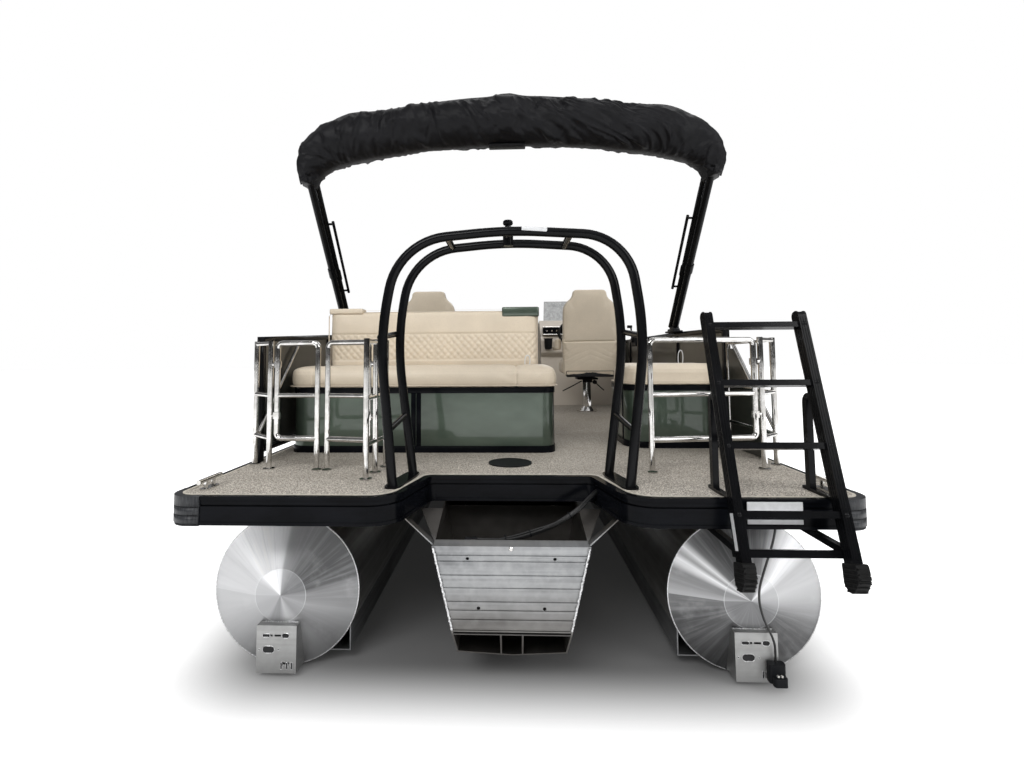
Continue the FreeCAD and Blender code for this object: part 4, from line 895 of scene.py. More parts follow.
def makeBack(name, low, high, body, planRadius, edge, quilted, replaced=(), joints=()):
    piece = shrunkPad(name, low, high, planRadius, edge)
    swell(piece, softSettings["cap"], softSettings["pressure"],
          lambda place: 1.0 if place.z < low.z + softSettings["foot"] else 0.0)
    refine(piece)
    long = 0 if high.x - low.x > high.y - low.y else 1

    def relief(place, normal):
        face = abs(normal[1 - long])
        if face < 0.55:
            return 0.25 * noise.noise(place * 8)
        along, up = place[long], place.z - quilt["low"]
        seam = max(groove(place.z - quilt["low"], quilt["seam"]), groove(place.z - quilt["high"], quilt["seam"]),
                   groove(place.z - (high.z - quilt["top"]), 0.006) * 0.5)
        if quilted and quilt["low"] < place.z < quilt["high"]:
            nearJoint = min([abs(along - joint) for joint in joints] + [1])
            seam = max(seam, groove(nearJoint, quilt["seam"]))
            first = abs(math.sin(math.pi * (along / quilt["wide"] + up / quilt["tall"])))
            second = abs(math.sin(math.pi * (along / quilt["wide"] - up / quilt["tall"])))
            puff = (first * second) ** 0.45
            return max(seam, 1 - puff) * face
        wave = 0.35 * noise.noise(Vector((place.x * 5, place.y * 5, place.z * 11)))
        return seam + wave

    pressIn(piece.data, quilt["depth"], relief)
    flattenFoot(piece, low.z)
    finishSoft(piece, name, "cream", body, replaced)


def backOutline(name, low, high, body):
    # piping round the upright face of a back
    radius, sunk, inset, thick = lounge["pipe"]
    side, top = low.y + sunk, high.z - inset - radius
    points = [(low.x + inset, side, low.z + 0.02), (low.x + inset, side, high.z - radius)]
    for way, edge in ((1, low.x + inset), (-1, high.x - inset)):
        for step in range(7):
            angle = math.radians((180 if way > 0 else 90) - 15 * step)
            across = radius * (1 + way * math.cos(angle)) if way > 0 else -radius * (1 - math.cos(angle))
            points.append((edge + across, side, top + radius * math.sin(angle)))
    points.append((high.x - inset, side, low.z + 0.02))
    addPiece(name, bar(points, thick, sides=2), "piping", body)


def pullLoop(name, x, y, z, tall, body):
    points = [(x - 0.014, y, z - 0.006), (x - 0.017, y, z + tall * 0.55), (x - 0.006, y - 0.003, z + tall),
              (x + 0.010, y - 0.003, z + tall * 0.96), (x + 0.018, y, z + tall * 0.5), (x + 0.012, y, z - 0.006)]
    return addPiece(name, bar(points, 0.0032, "NURBS", sides=2), "label", body)


seatPad("loungeCushion", "lounge_cushion", "lounge_lid", lounge["plan"], lounge["seams"])
backLow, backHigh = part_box("lounge_back")
makeBack("loungeBack", backLow, backHigh, "boat", lounge["backPlan"], lounge["backEdge"], True, ("lounge_back",),
         quilt["joints"])
backOutline("loungeBackPiping", backLow, backHigh, "boat")
proud, over, planRadius, edgeRadius = lounge["wrap"]
for name, across, up, finish in lounge["patches"]:
    corners = ((across[0], backLow.y - proud, up[0]), (across[1], backLow.y + over, up[1]))
    addPiece(name, roundedBlock(*corners, planRadius, edgeRadius, 4), finish)
loopX, loopIn, loopTall = lounge["loop"]
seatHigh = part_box("lounge_cushion")[1]
loopFoot = Vector((loopX, seatHigh.y - loopIn, seatHigh.z))
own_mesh(pullLoop("loungeLoop", *loopFoot, loopTall, "lounge_lid"))
seatPad("sternCushion", "stern_seat_cushion", "stern_seat_lid", 0.11, ())
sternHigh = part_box("stern_seat_cushion")[1]
pullLoop("sternLoop", sternHigh.x - 0.11, sternHigh.y - 0.06, sternHigh.z, 0.085, "stern_seat_lid")
for side in ("Port", "Starboard"):
    node = "bow_cushion_" + side.lower()
    low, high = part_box(node)
    seatPad("bowCushion" + side, node, "bow_lid_" + side.lower(), 0.06, (low.y + 0.42,), 1)
print("seats made")


def solidBoxes(node):
    # the boxes of a CAD node's separate solids
    bm = mergedCopy(node)
    left, found = set(bm.verts), []
    while left:
        stack, group = [left.pop()], []
        while stack:
            corner = stack.pop()
            group.append(corner.co.copy())
            for edge in corner.link_edges:
                other = edge.other_vert(corner)
                if other in left:
                    left.remove(other)
                    stack.append(other)
        found.append((Vector(min(place[axis] for place in group) for axis in range(3)),
                      Vector(max(place[axis] for place in group) for axis in range(3))))
    bm.free()
    return sorted(found, key=lambda pair: tuple(pair[0]))


for side in ("Port", "Starboard"):
    node = "bow_backs_" + side.lower()
    for index, (low, high) in enumerate(solidBoxes(node)):
        replaced = (node,) if index == 0 else ()
        makeBack("bowBack" + side + str(index), low, high, "boat", 0.045, lounge["backEdge"], True, replaced)
print("backs made")


# Bucket chairs: one is made at the middle and copied to both pedestals
chair = dict(x=0.735, y=3.070, seat=0.330, thick=0.080, recline=6.0, seam=0.338, voxel=0.010,
             slot=((-0.215, 0.215), (0.014, 0.066)),
             outline=((-0.245, 0), (0.245, 0), (0.262, 0.250), (0.256, 0.640), (0.225, 0.705), (0.173, 0.740),
                      (0.150, 0.822)),
             pan=((-0.258, -0.150, 0.028), (0.258, 0.265, 0.150), 0.07, 0.03),
             arms=((0.252, 0.312), (-0.205, 0.130), (0.575, 0.690), 0.025, 0.022),
             plate=((-0.095, -0.085, -0.030), (0.095, 0.10, -0.0125), 0.004, 2),
             block=((-0.045, -0.070, -0.058), (0.045, -0.0405, -0.026), 0.006, 2),
             knob=((0, 0), (0.017, 0.001), (0.02, 0.006), (0.02, 0.022), (0.017, 0.027), (0, 0.028)),
             levers=(((-0.05, -0.02, 0.285), (-0.15, -0.06, 0.235), (-0.236, -0.09, 0.197)),
                     ((0.06, -0.02, 0.290), (0.10, -0.05, 0.245), (0.150, -0.07, 0.200))))


def chairTurn():
    # from the back's own upright place to the boat, for a chair at x = 0
    turn = Matrix.Rotation(math.radians(chair["recline"]), 4, "X")
    y = chair["y"] - 0.140 + aftEdge
    return Matrix.Translation((0, y, deckTop + chair["seat"] - 0.002)) @ turn


def chairBack():
    bm = bmesh.new()
    right = [(x, z) for x, z in chair["outline"] if x > 0]
    rows = right + [(-x, z) for x, z in reversed(right)]
    bm.faces.new([bm.verts.new((x * 0.975, 0, z * 0.985 + 0.006)) for x, z in rows])
    bmesh.ops.bevel(bm, geom=bm.verts[:], offset=0.045, segments=6, profile=0.5, affect="VERTICES", material=-1,
                    clamp_overlap=True)
    thicken(bm, (0, -chair["thick"], 0))
    rims = [edge for edge in bm.edges if abs(edge.verts[0].co.y - edge.verts[1].co.y) < 1e-6]
    bevelEdges(bm, rims, 0.022, 3)
    piece = remeshed(looseMesh("chairBack", bm), chair["voxel"])
    swell(piece, softSettings["cap"], softSettings["pressure"], lambda place: 0.9
          if abs(place.z - chair["seam"]) < 0.006 and place.y < -0.04 else 0.0)
    refine(piece)

    def relief(place, normal):
        if normal.y > -0.3:
            return 0.2 * noise.noise(place * 9)
        seam = groove(place.z - chair["seam"] - 0.006 * math.sin(place.x * 6), 0.008) * 0.8
        lower = max(0.0, 1 - abs(place.z - 0.20) / 0.16)
        fan = math.sin((place.z + abs(place.x) * 0.45) * 120 + 3 * noise.noise(place * 6)) * lower
        fold = max(0.0, fan) ** 2 * (0.35 + abs(place.x) * 2.6) * 0.55
        return seam + fold + 0.3 * noise.noise(place * 5)

    pressIn(piece.data, 0.005, relief)
    piece.data.transform(chairTurn())
    return piece


def chairPad(name, low, high, planRadius, edge):
    form = roundedBlock(Vector(low) + Vector((0.006, 0.006, 0.004)), Vector(high) - Vector((0.006, 0.006, 0.006)),
                        planRadius, edge, 6)
    piece = remeshed(looseMesh(name, form), chair["voxel"])
    swell(piece, chair["voxel"], softSettings["pressure"])
    refine(piece)
    pressIn(piece.data, 0.004, lambda place, normal: 0.3 * noise.noise(place * 9))
    return piece


def makeChairs():
    y, low = chair["y"] + aftEdge, deckTop + chair["seat"]

    def placed(corners):
        return [(x, y + dy, low + z) for x, dy, z in corners]

    soft = [("Back", chairBack(), 0.75), ("Pan", chairPad("pan", *placed(chair["pan"][:2]), *chair["pan"][2:]),
                                          0.75)]
    (inner, outer), (back, front), (under, over) = chair["arms"][:3]
    for side, word in ((-1, "ArmInner"), (1, "ArmOuter")):
        across = sorted((side * inner, side * outer))
        arm = chairPad("arm", (across[0], y + back, deckTop + under), (across[1], y + front, deckTop + over),
                       *chair["arms"][3:])
        soft.append((word, arm, 0.8))
    (slotLeft, slotRight), (slotLow, slotHigh) = chair["slot"]
    recess = softBox((slotLeft, -chair["thick"] - 0.006, slotLow), (slotRight, -chair["thick"] + 0.02, slotHigh),
                     0.010, 4)
    bmesh.ops.transform(recess, matrix=chairTurn(), verts=recess.verts)
    rim = bar([(x, -chair["thick"] - 0.008, z) for x, z, _ in
               rimPoints((slotLeft, slotLow), (slotRight, slotHigh), 0.012, 0, 4)], 0.003, closed=True, sides=2)
    bmesh.ops.transform(rim, matrix=chairTurn(), verts=rim.verts)
    hard = [("Recess", recess, "inside"), ("RecessRim", rim, "moulded")]
    plate, block = (softBox(*placed(chair[name][:2]), *chair[name][2:]) for name in ("plate", "block"))
    knob = lathe(chair["knob"], (0.062, y - 0.062, low - 0.052), (0.2, -1, -0.1), 16)
    levers = [bar([(x, y + dy, deckTop + z) for x, dy, z in route], 0.0055, "NURBS", sides=3)
              for route in chair["levers"]]
    hard.append(("Mechanism", joined([plate, block, knob] + levers), "moulded"))
    for centre, body, prefix in ((chair["x"], "helm_chair", "helmChair"),
                                 (-chair["x"], "port_chair", "portChair")):
        for word, piece, fill in soft:
            mesh = piece.data.copy()
            mesh.transform(Matrix.Translation((centre, 0, 0)))
            copy = bpy.data.objects.new(prefix + word, mesh)
            scene.collection.objects.link(copy)
            finishSoft(copy, prefix + word, "cream", body, (body + "_seat",) if word == "Back" else ())
        for word, form, finish in hard:
            mesh = bpy.data.meshes.new(prefix + word)
            form.to_mesh(mesh)
            mesh.transform(Matrix.Translation((centre, 0, 0)))
            addPiece(prefix + word, mesh, finish, body)
    for _, piece, _ in soft:
        bpy.data.objects.remove(piece)
    for _, form, _ in hard:
        form.free()


makeChairs()
print("chairs made")


# Sun shade boot: a cloth sleeve with gathered seams and slanting folds
boot = dict(y=1.000, rows=((0, 1.874, 0, 0.138, 0.142), (0.500, 1.852, -6, 0.140, 0.142),
                           (0.880, 1.793, -14, 0.138, 0.140),
                           (1.062, 1.733, -30, 0.128, 0.134), (1.138, 1.664, -50, 0.104, 0.124),
                           (1.160, 1.602, -68, 0.078, 0.114), (1.160, 1.545, -82, 0.052, 0.102),
                           (1.156, 1.497, -90, 0.036, 0.094)),
            humps=((0.0, 0.07, 0.022), (0.17, 0.24, 0.016), (0.90, 0.13, 0.026)), crest=0.007, steps=200, round=64,
            inset=0.009, seed=0.006, growth=0.06, cap=0.013, crease=0.0115,
            strap=(0.105, 0.03, 0.150, 0.132))


def bootRow(share):
    # the sleeve's middle, slope and half sizes at a share of its half length
    rows = boot["rows"]
    spans = [(Vector(after[:2]) - Vector(before[:2])).length for before, after in zip(rows, rows[1:])]
    run = share * sum(spans)
    for index, span in enumerate(spans):
        if run <= span or index == len(spans) - 1:
            part = min(1.0, run / span)
            before, after = rows[index], rows[index + 1]
            return [start + (end - start) * part for start, end in zip(before, after)]
        run -= span


def smoothRow(share):
    # averaged over neighbours, so that the sleeve bends without corners
    near = [bootRow(min(1.0, max(0.0, abs(share) + step * 0.022))) for step in range(-2, 3)]
    x, z, slope, high, wide = (sum(row[column] for row in near) / len(near) for column in range(5))
    return (-x, z, -slope, high, wide) if share < 0 else (x, z, slope, high, wide)


def foldRun(x, angle):
    # folds stand nearly upright to port and slant down from the peak to starboard
    lean = 0.24 * math.exp(-((x - 0.36) / 0.42) ** 4) - 0.05 * math.sin(x * 7)
    return x + lean * math.sin(angle)


def foldSeed(x, angle):
    along = foldRun(x, angle)
    ridge = noise.noise(Vector((along * 12, math.cos(angle) * 0.6, 3.1)))
    return ridge + 0.5 * noise.noise(Vector((along * 25, math.cos(angle) * 0.9, 8.4)))


def crease(x, angle):
    # thin sharp ridges that fade in and out along the folds
    along, total = foldRun(x, angle), 0.0
    for pitch, seed, share in ((9, 1.7, 1.0), (17, 5.2, 0.8), (31, 9.6, 0.5)):
        wave = noise.noise(Vector((along * pitch + 0.4 * math.sin(angle * 2 + seed), math.cos(angle) * 0.5, seed)))
        fade = noise.noise(Vector((along * pitch * 0.6, angle * 1.3, seed + 20)))
        total += share * max(0.0, 1 - abs(wave) * 4.2) ** 1.5 * min(1.0, max(0.0, 0.45 + fade * 1.8))
    return total


def sleevePoint(share, angle, out):
    x, z, slope, high, wide = smoothRow(share)
    tilt = math.radians(slope)
    normal = Vector((math.sin(-tilt), 0, math.cos(tilt)))
    up, across = math.sin(angle), math.cos(angle)
    raised = sum(tall * math.exp(-((abs(x) - at) / spread) ** 2) for at, spread, tall in boot["humps"])
    crest = boot["crest"] * math.exp(-((angle - math.pi / 2) / 0.11) ** 2)
    middle = Vector((x, boot["y"] + aftEdge, z + deckTop))
    reach = high + out + crest + raised * max(0.0, up) ** 2
    return middle + normal * up * reach + Vector((0, across * (wide + out), 0))


def calmAt(share, angle):
    return max(0.0, 1 - abs(math.sin(angle)) ** 8) * min(1.0, (1 - abs(share)) / 0.1)


def makeBoot():
    bm = bmesh.new()
    bmesh.ops.create_grid(bm, x_segments=boot["steps"], y_segments=boot["round"], size=1)
    fixed = bm.verts.layers.float.new("held")
    spread = bm.verts.layers.float_vector.new("spread")
    for vertex in bm.verts:
        share, angle = vertex.co.x, math.pi * vertex.co.y
        edge = min(1.0, max(0.0, (abs(math.sin(angle)) - 0.72) / 0.26))
        vertex[fixed] = 1.0 if edge == 1.0 or abs(share) > 0.985 else 0.5 * edge
        vertex[spread] = (share, math.cos(angle), math.sin(angle))
        ripple = boot["seed"] * foldSeed(vertex.co.x * 1.16, angle) * calmAt(share, angle)
        vertex.co = sleevePoint(share, angle, ripple - boot["inset"])
    bmesh.ops.remove_doubles(bm, verts=bm.verts, dist=1e-5)
    rims = [edge for edge in bm.edges if edge.is_boundary]
    bmesh.ops.holes_fill(bm, edges=rims, sides=0)
    bmesh.ops.recalc_face_normals(bm, faces=bm.faces)
    weights = {tuple(round(value, 6) for value in vertex.co): vertex[fixed] for vertex in bm.verts}
    piece = looseMesh("boot", bm)
    swell(piece, boot["cap"], 0.6, lambda place: weights.get(tuple(round(value, 6) for value in place), 0.0),
          24, boot["growth"], 0.3)
    refine(piece)
    mesh = piece.data
    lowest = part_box("bimini_boot")[0].z
    table = mesh.attributes["spread"].data
    normals = [vertex.normal.copy() for vertex in mesh.vertices]
    for vertex, normal, entry in zip(mesh.vertices, normals, table):
        share, across, up = entry.vector
        angle = math.atan2(up, across)
        vertex.co += normal * boot["crease"] * crease(share * 1.16, angle) * calmAt(share, angle)
        vertex.co.z = max(vertex.co.z, lowest)
    finishSoft(piece, "shadeBoot", "canvas", "sun_shade", ("bimini_boot",))
    seamLine = [sleevePoint(step / 61, math.pi / 2, 0.001 - boot["inset"] / 2) for step in range(-60, 61)]
    addPiece("shadeBootSeam", bar(seamLine, 0.0045, sides=2), "canvas", "sun_shade")
    y, crown = boot["y"] + aftEdge, deckTop + boot["rows"][0][1]
    half, reach, low, high = boot["strap"]
    strap = softBox((-half, y - reach, crown - low), (half, y + reach, crown - high), 0.004, 2)
    addPiece("shadeBootStrap", strap, "canvas", "sun_shade")


makeBoot()
print("boot made")


# Trims round the seat bases: black plinth and top band with rounded cords, frames and screws
baseTrim = dict(plinth=0.036, top=0.030, proud=0.004, screw=0.0065,
                radii=dict(lounge_base=0.070, stern_seat_base=0.110, bow_base_port=0.090,
                           bow_base_starboard=0.090))
baseScrews = dict(lounge_base=(-0.81, -0.401, 0.008), stern_seat_base=(0.80, 1.08))
baseFrames = dict(lounge_base=((-0.538, -0.483),), stern_seat_base=())


def trimBase(node):
    low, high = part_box(node)
    radius, proud = baseTrim["radii"][node] + baseTrim["proud"], baseTrim["proud"]
    grow = Vector((proud, proud, 0))
    plinth = wallBand(low - grow, Vector((high.x, high.y, low.z + baseTrim["plinth"])) + grow, radius, proud)
    top = wallBand(Vector((low.x, low.y, high.z - baseTrim["top"])) - grow, high + grow, radius, proud)
    rounded = []
    for height in (low.z + baseTrim["plinth"] - 0.006, high.z - baseTrim["top"] + 0.006):
        rounded.append(bar(rimPoints(low, high, baseTrim["radii"][node], height, 10, proud), 0.0045, closed=True,
                           sides=2))
    addPiece(node + ".bands", joined([plinth, top] + rounded), "gloss")
    uprights = []
    for left, right in baseFrames.get(node, ()):
        middle = (left + right) / 2
        for start, end in ((left, middle - 0.001), (middle + 0.001, right)):
            uprights.append(softBox((start, low.y - proud, low.z + 0.01), (end, low.y + 0.004, high.z - 0.004),
                                    0.003, 2))
    for x in (low.x, high.x):
        side = -1 if x == low.x else 1
        across = sorted((x - side * 0.004, x + side * proud))
        y = low.y + baseTrim["radii"][node] + 0.004
        uprights.append(softBox((across[0], y, low.z + 0.01), (across[1], y + 0.026, high.z - 0.004), 0.0015, 2))
    addPiece(node + ".frames", joined(uprights), "gloss")
    screws = []
    for x in baseScrews.get(node, ()):
        screws.append(lathe([(0, 0.0035), (0.004, 0.003), (baseTrim["screw"], 0.0), (baseTrim["screw"], -0.002),
                             (0, -0.002)],
                            (x, low.y - proud - 0.0005, low.z + 0.014), (0, -1, 0), 14))
    if screws:
        addPiece(node + ".screws", joined(screws), "steel")


for node in baseTrim["radii"]:
    trimBase(node)


# Welds, end-cap rims and the transom's rivet
weldShape = dict(bead=0.0048, step=0.0055)
transomEdge = ((0.292, -3.2535, 0.607), (0.228, -3.1845, 0.276))


def weldBead(start, end, radius, seed):
    # overlapping ripples along a run
    start, end = Vector(start), Vector(end)
    count = int((end - start).length / weldShape["step"])
    points, radii = [], []
    for index in range(count + 1):
        share = index / count
        wander = noise.noise(Vector((seed, share * 30, 0))) * radius * 0.7
        points.append(start.lerp(end, share) + Vector((wander, 0, wander * 0.5)))
        radii.append(0.75 + 0.35 * (index % 2) + 0.25 * noise.noise(Vector((seed, share * 55, 2))))
    curve = curveOf("weld", points, radius, "POLY", sides=2)
    for point, size in zip(curve.splines[0].points, radii):
        point.radius = size
    form = bmesh.new()
    form.from_mesh(meshOf(curve))
    return form


def ringBead(centre, radius, thick, sides=96):
    points = [(centre[0] + radius * math.cos(2 * math.pi * step / sides), centre[1],
               centre[2] + radius * math.sin(2 * math.pi * step / sides)) for step in range(sides)]
    return bar(points, thick, closed=True, sides=2)


(topX, topY, topZ), (footX, footY, footZ) = transomEdge
beads = [weldBead((side * topX, topY, topZ), (side * footX, footY, footZ), weldShape["bead"], side * 3.0)
         for side in (-1, 1)]
capRim = tubeLow.y + tubeShape["cap"]
for side in (-1, 1):
    beads.append(ringBead((side * tubeShape["x"], capRim, tubeShape["z"]), tubeShape["z"] - 0.0015, 0.0028))
    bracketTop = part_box("sonar_brackets")[1].z
    middle = side * tubeShape["x"]
    beads.append(weldBead((middle - 0.078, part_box("tube_port")[0].y + 0.002, bracketTop - 0.002),
                          (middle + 0.078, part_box("tube_port")[0].y + 0.002, bracketTop - 0.002), 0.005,
                          side * 7.0))
addPiece("welds", joined(beads), "weld")
rivet = lathe([(0, 0.004), (0.006, 0.0034), (0.009, 0.0), (0.009, -0.004), (0, -0.004)],
              (0.0, -3.2525, 0.603), (0, -0.98, -0.2), 18)
addPiece("transomRivet", rivet, "steel")

# Pale edging round the deck covering
deckForm = mergedCopy("deck")
buried = [face for face in deckForm.faces if face.normal.z < 0.9]
bmesh.ops.delete(deckForm, geom=buried, context="FACES")
bmesh.ops.dissolve_limit(deckForm, angle_limit=0.01, verts=deckForm.verts, edges=deckForm.edges,
                         use_dissolve_boundaries=False)
ring = bmesh.ops.inset_region(deckForm, faces=deckForm.faces[:], thickness=0.011, use_even_offset=True,
                              use_boundary=True)
kept = set(ring["faces"])
bmesh.ops.delete(deckForm, geom=[face for face in deckForm.faces if face not in kept], context="FACES")
thicken(deckForm, (0, 0, 0.0018))
addPiece("deckEdging", deckForm, "edging")

# Tow arch: two bent hoops, braces and feet in the slimmer tube of the real one
arch = dict(tube=0.0195, brace=0.0125, crown=1.0275, crownBend=1.7, sideBend=1.2, footUp=0.006, sideUp=0.600,
            hoops=((0.147, 0.468, (0.521, 0.538)), (0.376, 0.428, (0.502, 0.505))),
            shoulder=((0.072, 0.040, 0.26), (0.058, 0.030, 0.22)),
            braces=((0.218, 0.490, 0.264, 0.459), (0.596, 0.522, 0.620, 0.502)),
            ties=((-0.25, 0.022), (0, 0.006), (0.25, 0.022)),
            foot=((0.402, 0.340), (0.402, 0.404), (0.454, 0.404), (0.497, 0.200), (0.497, 0.118),
                  (0.436, 0.118)))


def bentPath(corners, steps=12):
    # straight runs joined by arcs: corners are (place, radius)
    path = [Vector(corners[0][0])]
    for (before, _), (corner, radius), (after, _) in zip(corners, corners[1:], corners[2:]):
        corner = Vector(corner)
        back, on = Vector(before) - corner, Vector(after) - corner
        half = back.angle(on) / 2
        reach = min(radius / math.tan(half), back.length * 0.6, on.length * 0.6)
        start, end = corner + back.normalized() * reach, corner + on.normalized() * reach
        centre = corner + (back.normalized() + on.normalized()).normalized() * (reach / math.cos(half))
        size = (start - centre).length
        first, last = (start - centre).normalized(), (end - centre).normalized()
        path += [centre + first.slerp(last, step / steps) * size for step in range(steps + 1)]
    path.append(Vector(corners[-1][0]))
    return path


def makeArch():
    forms = []
    crown = arch["crown"]
    for y, foot, sides in arch["hoops"]:
        halves = []
        for across, (inward, drop, bend) in zip(sides, arch["shoulder"]):
            halves.append([(foot, arch["footUp"], 0), (across, arch["sideUp"], arch["sideBend"]),
                           (across - inward, crown - drop, bend)])
        left, right = halves
        corners = right + [(0, crown, arch["crownBend"])] + [(-x, z, radius) for x, z, radius in reversed(left)]
        path = bentPath([((x, y + aftEdge, z + deckTop), radius) for x, z, radius in corners])
        forms.append(bar(path, arch["tube"], sides=7))
    aft, fore = (hoop[0] + aftEdge for hoop in arch["hoops"])
    for side in (-1, 1):
        for low, near, high, far in arch["braces"]:
            forms.append(bar([(side * near, aft, deckTop + low), (side * far, fore, deckTop + high)],
                             arch["brace"], sides=4))
        plate = bmesh.new()
        outline = [plate.verts.new((side * x, y + aftEdge, deckTop)) for x, y in arch["foot"]]
        plate.faces.new(outline)
        bmesh.ops.bevel(plate, geom=plate.verts[:], offset=0.018, segments=4, profile=0.5, affect="VERTICES",
                        material=-1)
        thicken(plate, (0, 0, 0.008))
        forms.append(plate)
    for x, sink in arch["ties"]:
        height = deckTop + crown - sink
        forms.append(bar([(x, aft, height), (x, fore, height)], 0.014, sides=5))
    piece = addPiece("towArch", joined(forms), "powder", sharp=50)
    standFor("tow_arch")


makeArch()
# Sun shade poles in full tube, up into the boot, with a clamp on each pair
shade = dict(foot=(1.217, 1.540), top=(1.145, 2.340), aft=(1.900, 0.9725), fore=(2.000, 1.0725), tube=0.0215,
             into=1.05, hub=0.024,
             clamp=(0.44, 0.036), strut=(0.31, 0.80, 0.052, 0.009),
             seat=1.489, mount=((0.034, 0.105, 0.014), (0.024, 0.074, 0.030), (0.017, 0.046, 0.046)))


def poleAt(side, rows, share):
    (footX, footZ), (topX, topZ) = shade["foot"], shade["top"]
    footY, topY = rows
    return Vector((side * (footX + (topX - footX) * share), footY + (topY - footY) * share + aftEdge,
                   footZ + (topZ - footZ) * share))


def makeShadeFrame():
    forms, mounts = [], []
    for side in (-1, 1):
        for rows in (shade["aft"], shade["fore"]):
            forms.append(bar([poleAt(side, rows, 0), poleAt(side, rows, shade["into"])], shade["tube"], sides=6))
        low, high = poleAt(side, shade["aft"], 0), poleAt(side, shade["fore"], 0)
        forms.append(softBox(low - Vector((0.006, 0, 0.014)), Vector((low.x + 0.006, high.y, low.z + 0.014)),
                             0.003, 2))
        hubRows = [(0, 0.012), (0.018, 0.012), (shade["hub"], 0.008), (shade["hub"], -0.008), (0.018, -0.012),
                   (0, -0.012)]
        forms.append(lathe(hubRows, high, (1, 0, 0), 28))
        share, half = shade["clamp"]
        along = (poleAt(side, shade["aft"], share + 0.1) - poleAt(side, shade["aft"], share)).normalized() * half
        for rows in (shade["aft"], shade["fore"]):
            middle = poleAt(side, rows, share)
            forms.append(bar([middle - along, middle + along], shade["tube"] + 0.005, sides=6))
        start, end, inward, radius = shade["strut"]
        shift = Vector((-side * inward, 0, 0))
        forms.append(bar([poleAt(side, shade["fore"], start) + shift, poleAt(side, shade["fore"], end) + shift],
                         radius, sides=5))
        for share in (start + 0.015, end - 0.015):
            middle = poleAt(side, shade["fore"], share)
            forms.append(bar([middle, middle + shift], radius * 0.8, sides=5))
        for half, reach, rise in shade["mount"]:
            base = Vector((low.x, (low.y + high.y) / 2, shade["seat"]))
            mounts.append(softBox(base - Vector((half, reach, 0)), base + Vector((half, reach, rise)), 0.006, 2))
    addPiece("shadeMounts", joined(mounts), "moulded")
    piece = addPiece("shadeFrame", joined(forms), "powder", "sun_shade", sharp=50)
    standFor("bimini_frame")


makeShadeFrame()


# Fences: their tops fall a little towards the stern
fall = dict(start=-1.42, end=-2.66, above=1.18, drops=dict(port=0.066, starboard=0.022))


def fallen(place, drop):
    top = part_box("fence_port")[1].z
    along = min(1.0, max(0.0, (fall["start"] - place.y) / (fall["start"] - fall["end"])))
    up = min(1.0, max(0.0, (place.z - fall["above"]) / (top - fall["above"])))
    return drop * along * up


for side, drop in fall["drops"].items():
    for node, finish, slotName in (("fence_" + side, "powder", "fence_frame"),
                                   ("fence_panels_" + side, "panel", "green_panel")):
        form = mergedCopy(node)
        long = [edge for edge in form.edges if edge.calc_length() > 0.25]
        bmesh.ops.subdivide_edges(form, edges=long, cuts=5)
        bmesh.ops.triangulate(form, faces=form.faces)
        for vertex in form.verts:
            vertex.co.z -= fallen(vertex.co, drop)
        piece = addPiece(node.replace("_", ".") + ".shaped", form, finish, sharp=8 if finish == "panel" else 40)
        standFor(node)

# Corner caps: drawn down to the bumper's foot
capLow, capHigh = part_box("corner_caps")
capReach = (capHigh.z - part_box("edge_bumper")[0].z + 0.003) / (capHigh.z - capLow.z)
form = mergedCopy("corner_caps")
for vertex in form.verts:
    vertex.co.z = capHigh.z - (capHigh.z - vertex.co.z) * capReach
piece = addPiece("cornerCaps", form, "cap", sharp=40)
standFor("corner_caps")

# Tow knob and a blank label on the aft hoop
knobLow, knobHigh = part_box("tow_knob")
knobRows = [(0, 0.066), (0.017, 0.066), (0.0205, 0.062), (0.0215, 0.052), (0.019, 0.047), (0.0125, 0.045),
            (0.0125, 0.036), (0.019, 0.034),
            (0.0215, 0.029), (0.0205, 0.020), (0.013, 0.017), (0.0115, 0.002), (0.022, 0.0), (0.022, -0.045),
            (0, -0.045)]
knob = lathe(knobRows, ((knobLow.x + knobHigh.x) / 2, (knobLow.y + knobHigh.y) / 2, knobLow.z - 0.004), (0, 0, 1),
             28)
knobPiece = addPiece("towKnob", knob, "powder")
standFor("tow_knob")

archBack = arch["hoops"][0][0] + aftEdge - arch["tube"]
label = softBox((0.055, archBack - 0.0012, 1.8215), (0.157, archBack + 0.006, 1.8385), 0.001, 2)
bmesh.ops.rotate(label, cent=(0.106, archBack, 1.83), matrix=Matrix.Rotation(math.radians(4), 3, "Y"),
                 verts=label.verts)
addPiece("archLabel", label, "label")
print("trims made")

# Console: instrument hood with a bright-edged band, drink holder and floor trim
consoleLow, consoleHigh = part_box("console")
hood = dict(x=(0.39, 1.15), z=(1.560, 1.640), depth=0.14, aft=0.012, knobs=(0.41, 0.463, 0.516), knobSize=0.011,
            gauges=(0.60, 0.70, 0.80), gaugeRows=((0, 0.003), (0.026, 0.003), (0.030, 0.008), (0.034, 0.008),
                                                  (0.036, 0.0), (0.036, -0.01), (0, -0.01)))
holder = dict(place=(0.420, -0.035, 1.400), arm=((0.395, -0.006, 1.405), (0.445, 0.06, 1.425)),
              rows=((0.0, 0.0), (0.036, 0.0), (0.039, 0.006), (0.043, 0.105), (0.050, 0.112), (0.046, 0.117),
                    (0.040, 0.110), (0.036, 0.012), (0.0, 0.010)))
hoodAft = consoleLow.y + hood["aft"]
band = softBox((hood["x"][0] - 0.02, hoodAft, hood["z"][0]), (hood["x"][1], hoodAft + hood["depth"], hood["z"][1]),
               0.008, 3)
addPiece("dashBand", band, "gloss")
strips = [softBox((hood["x"][0] - 0.024, hoodAft - 0.003, z - 0.005),
                  (hood["x"][1] + 0.004, hoodAft + hood["depth"], z + 0.005), 0.003, 2)
          for z in hood["z"]]
addPiece("dashStrips", joined(strips), "steel")
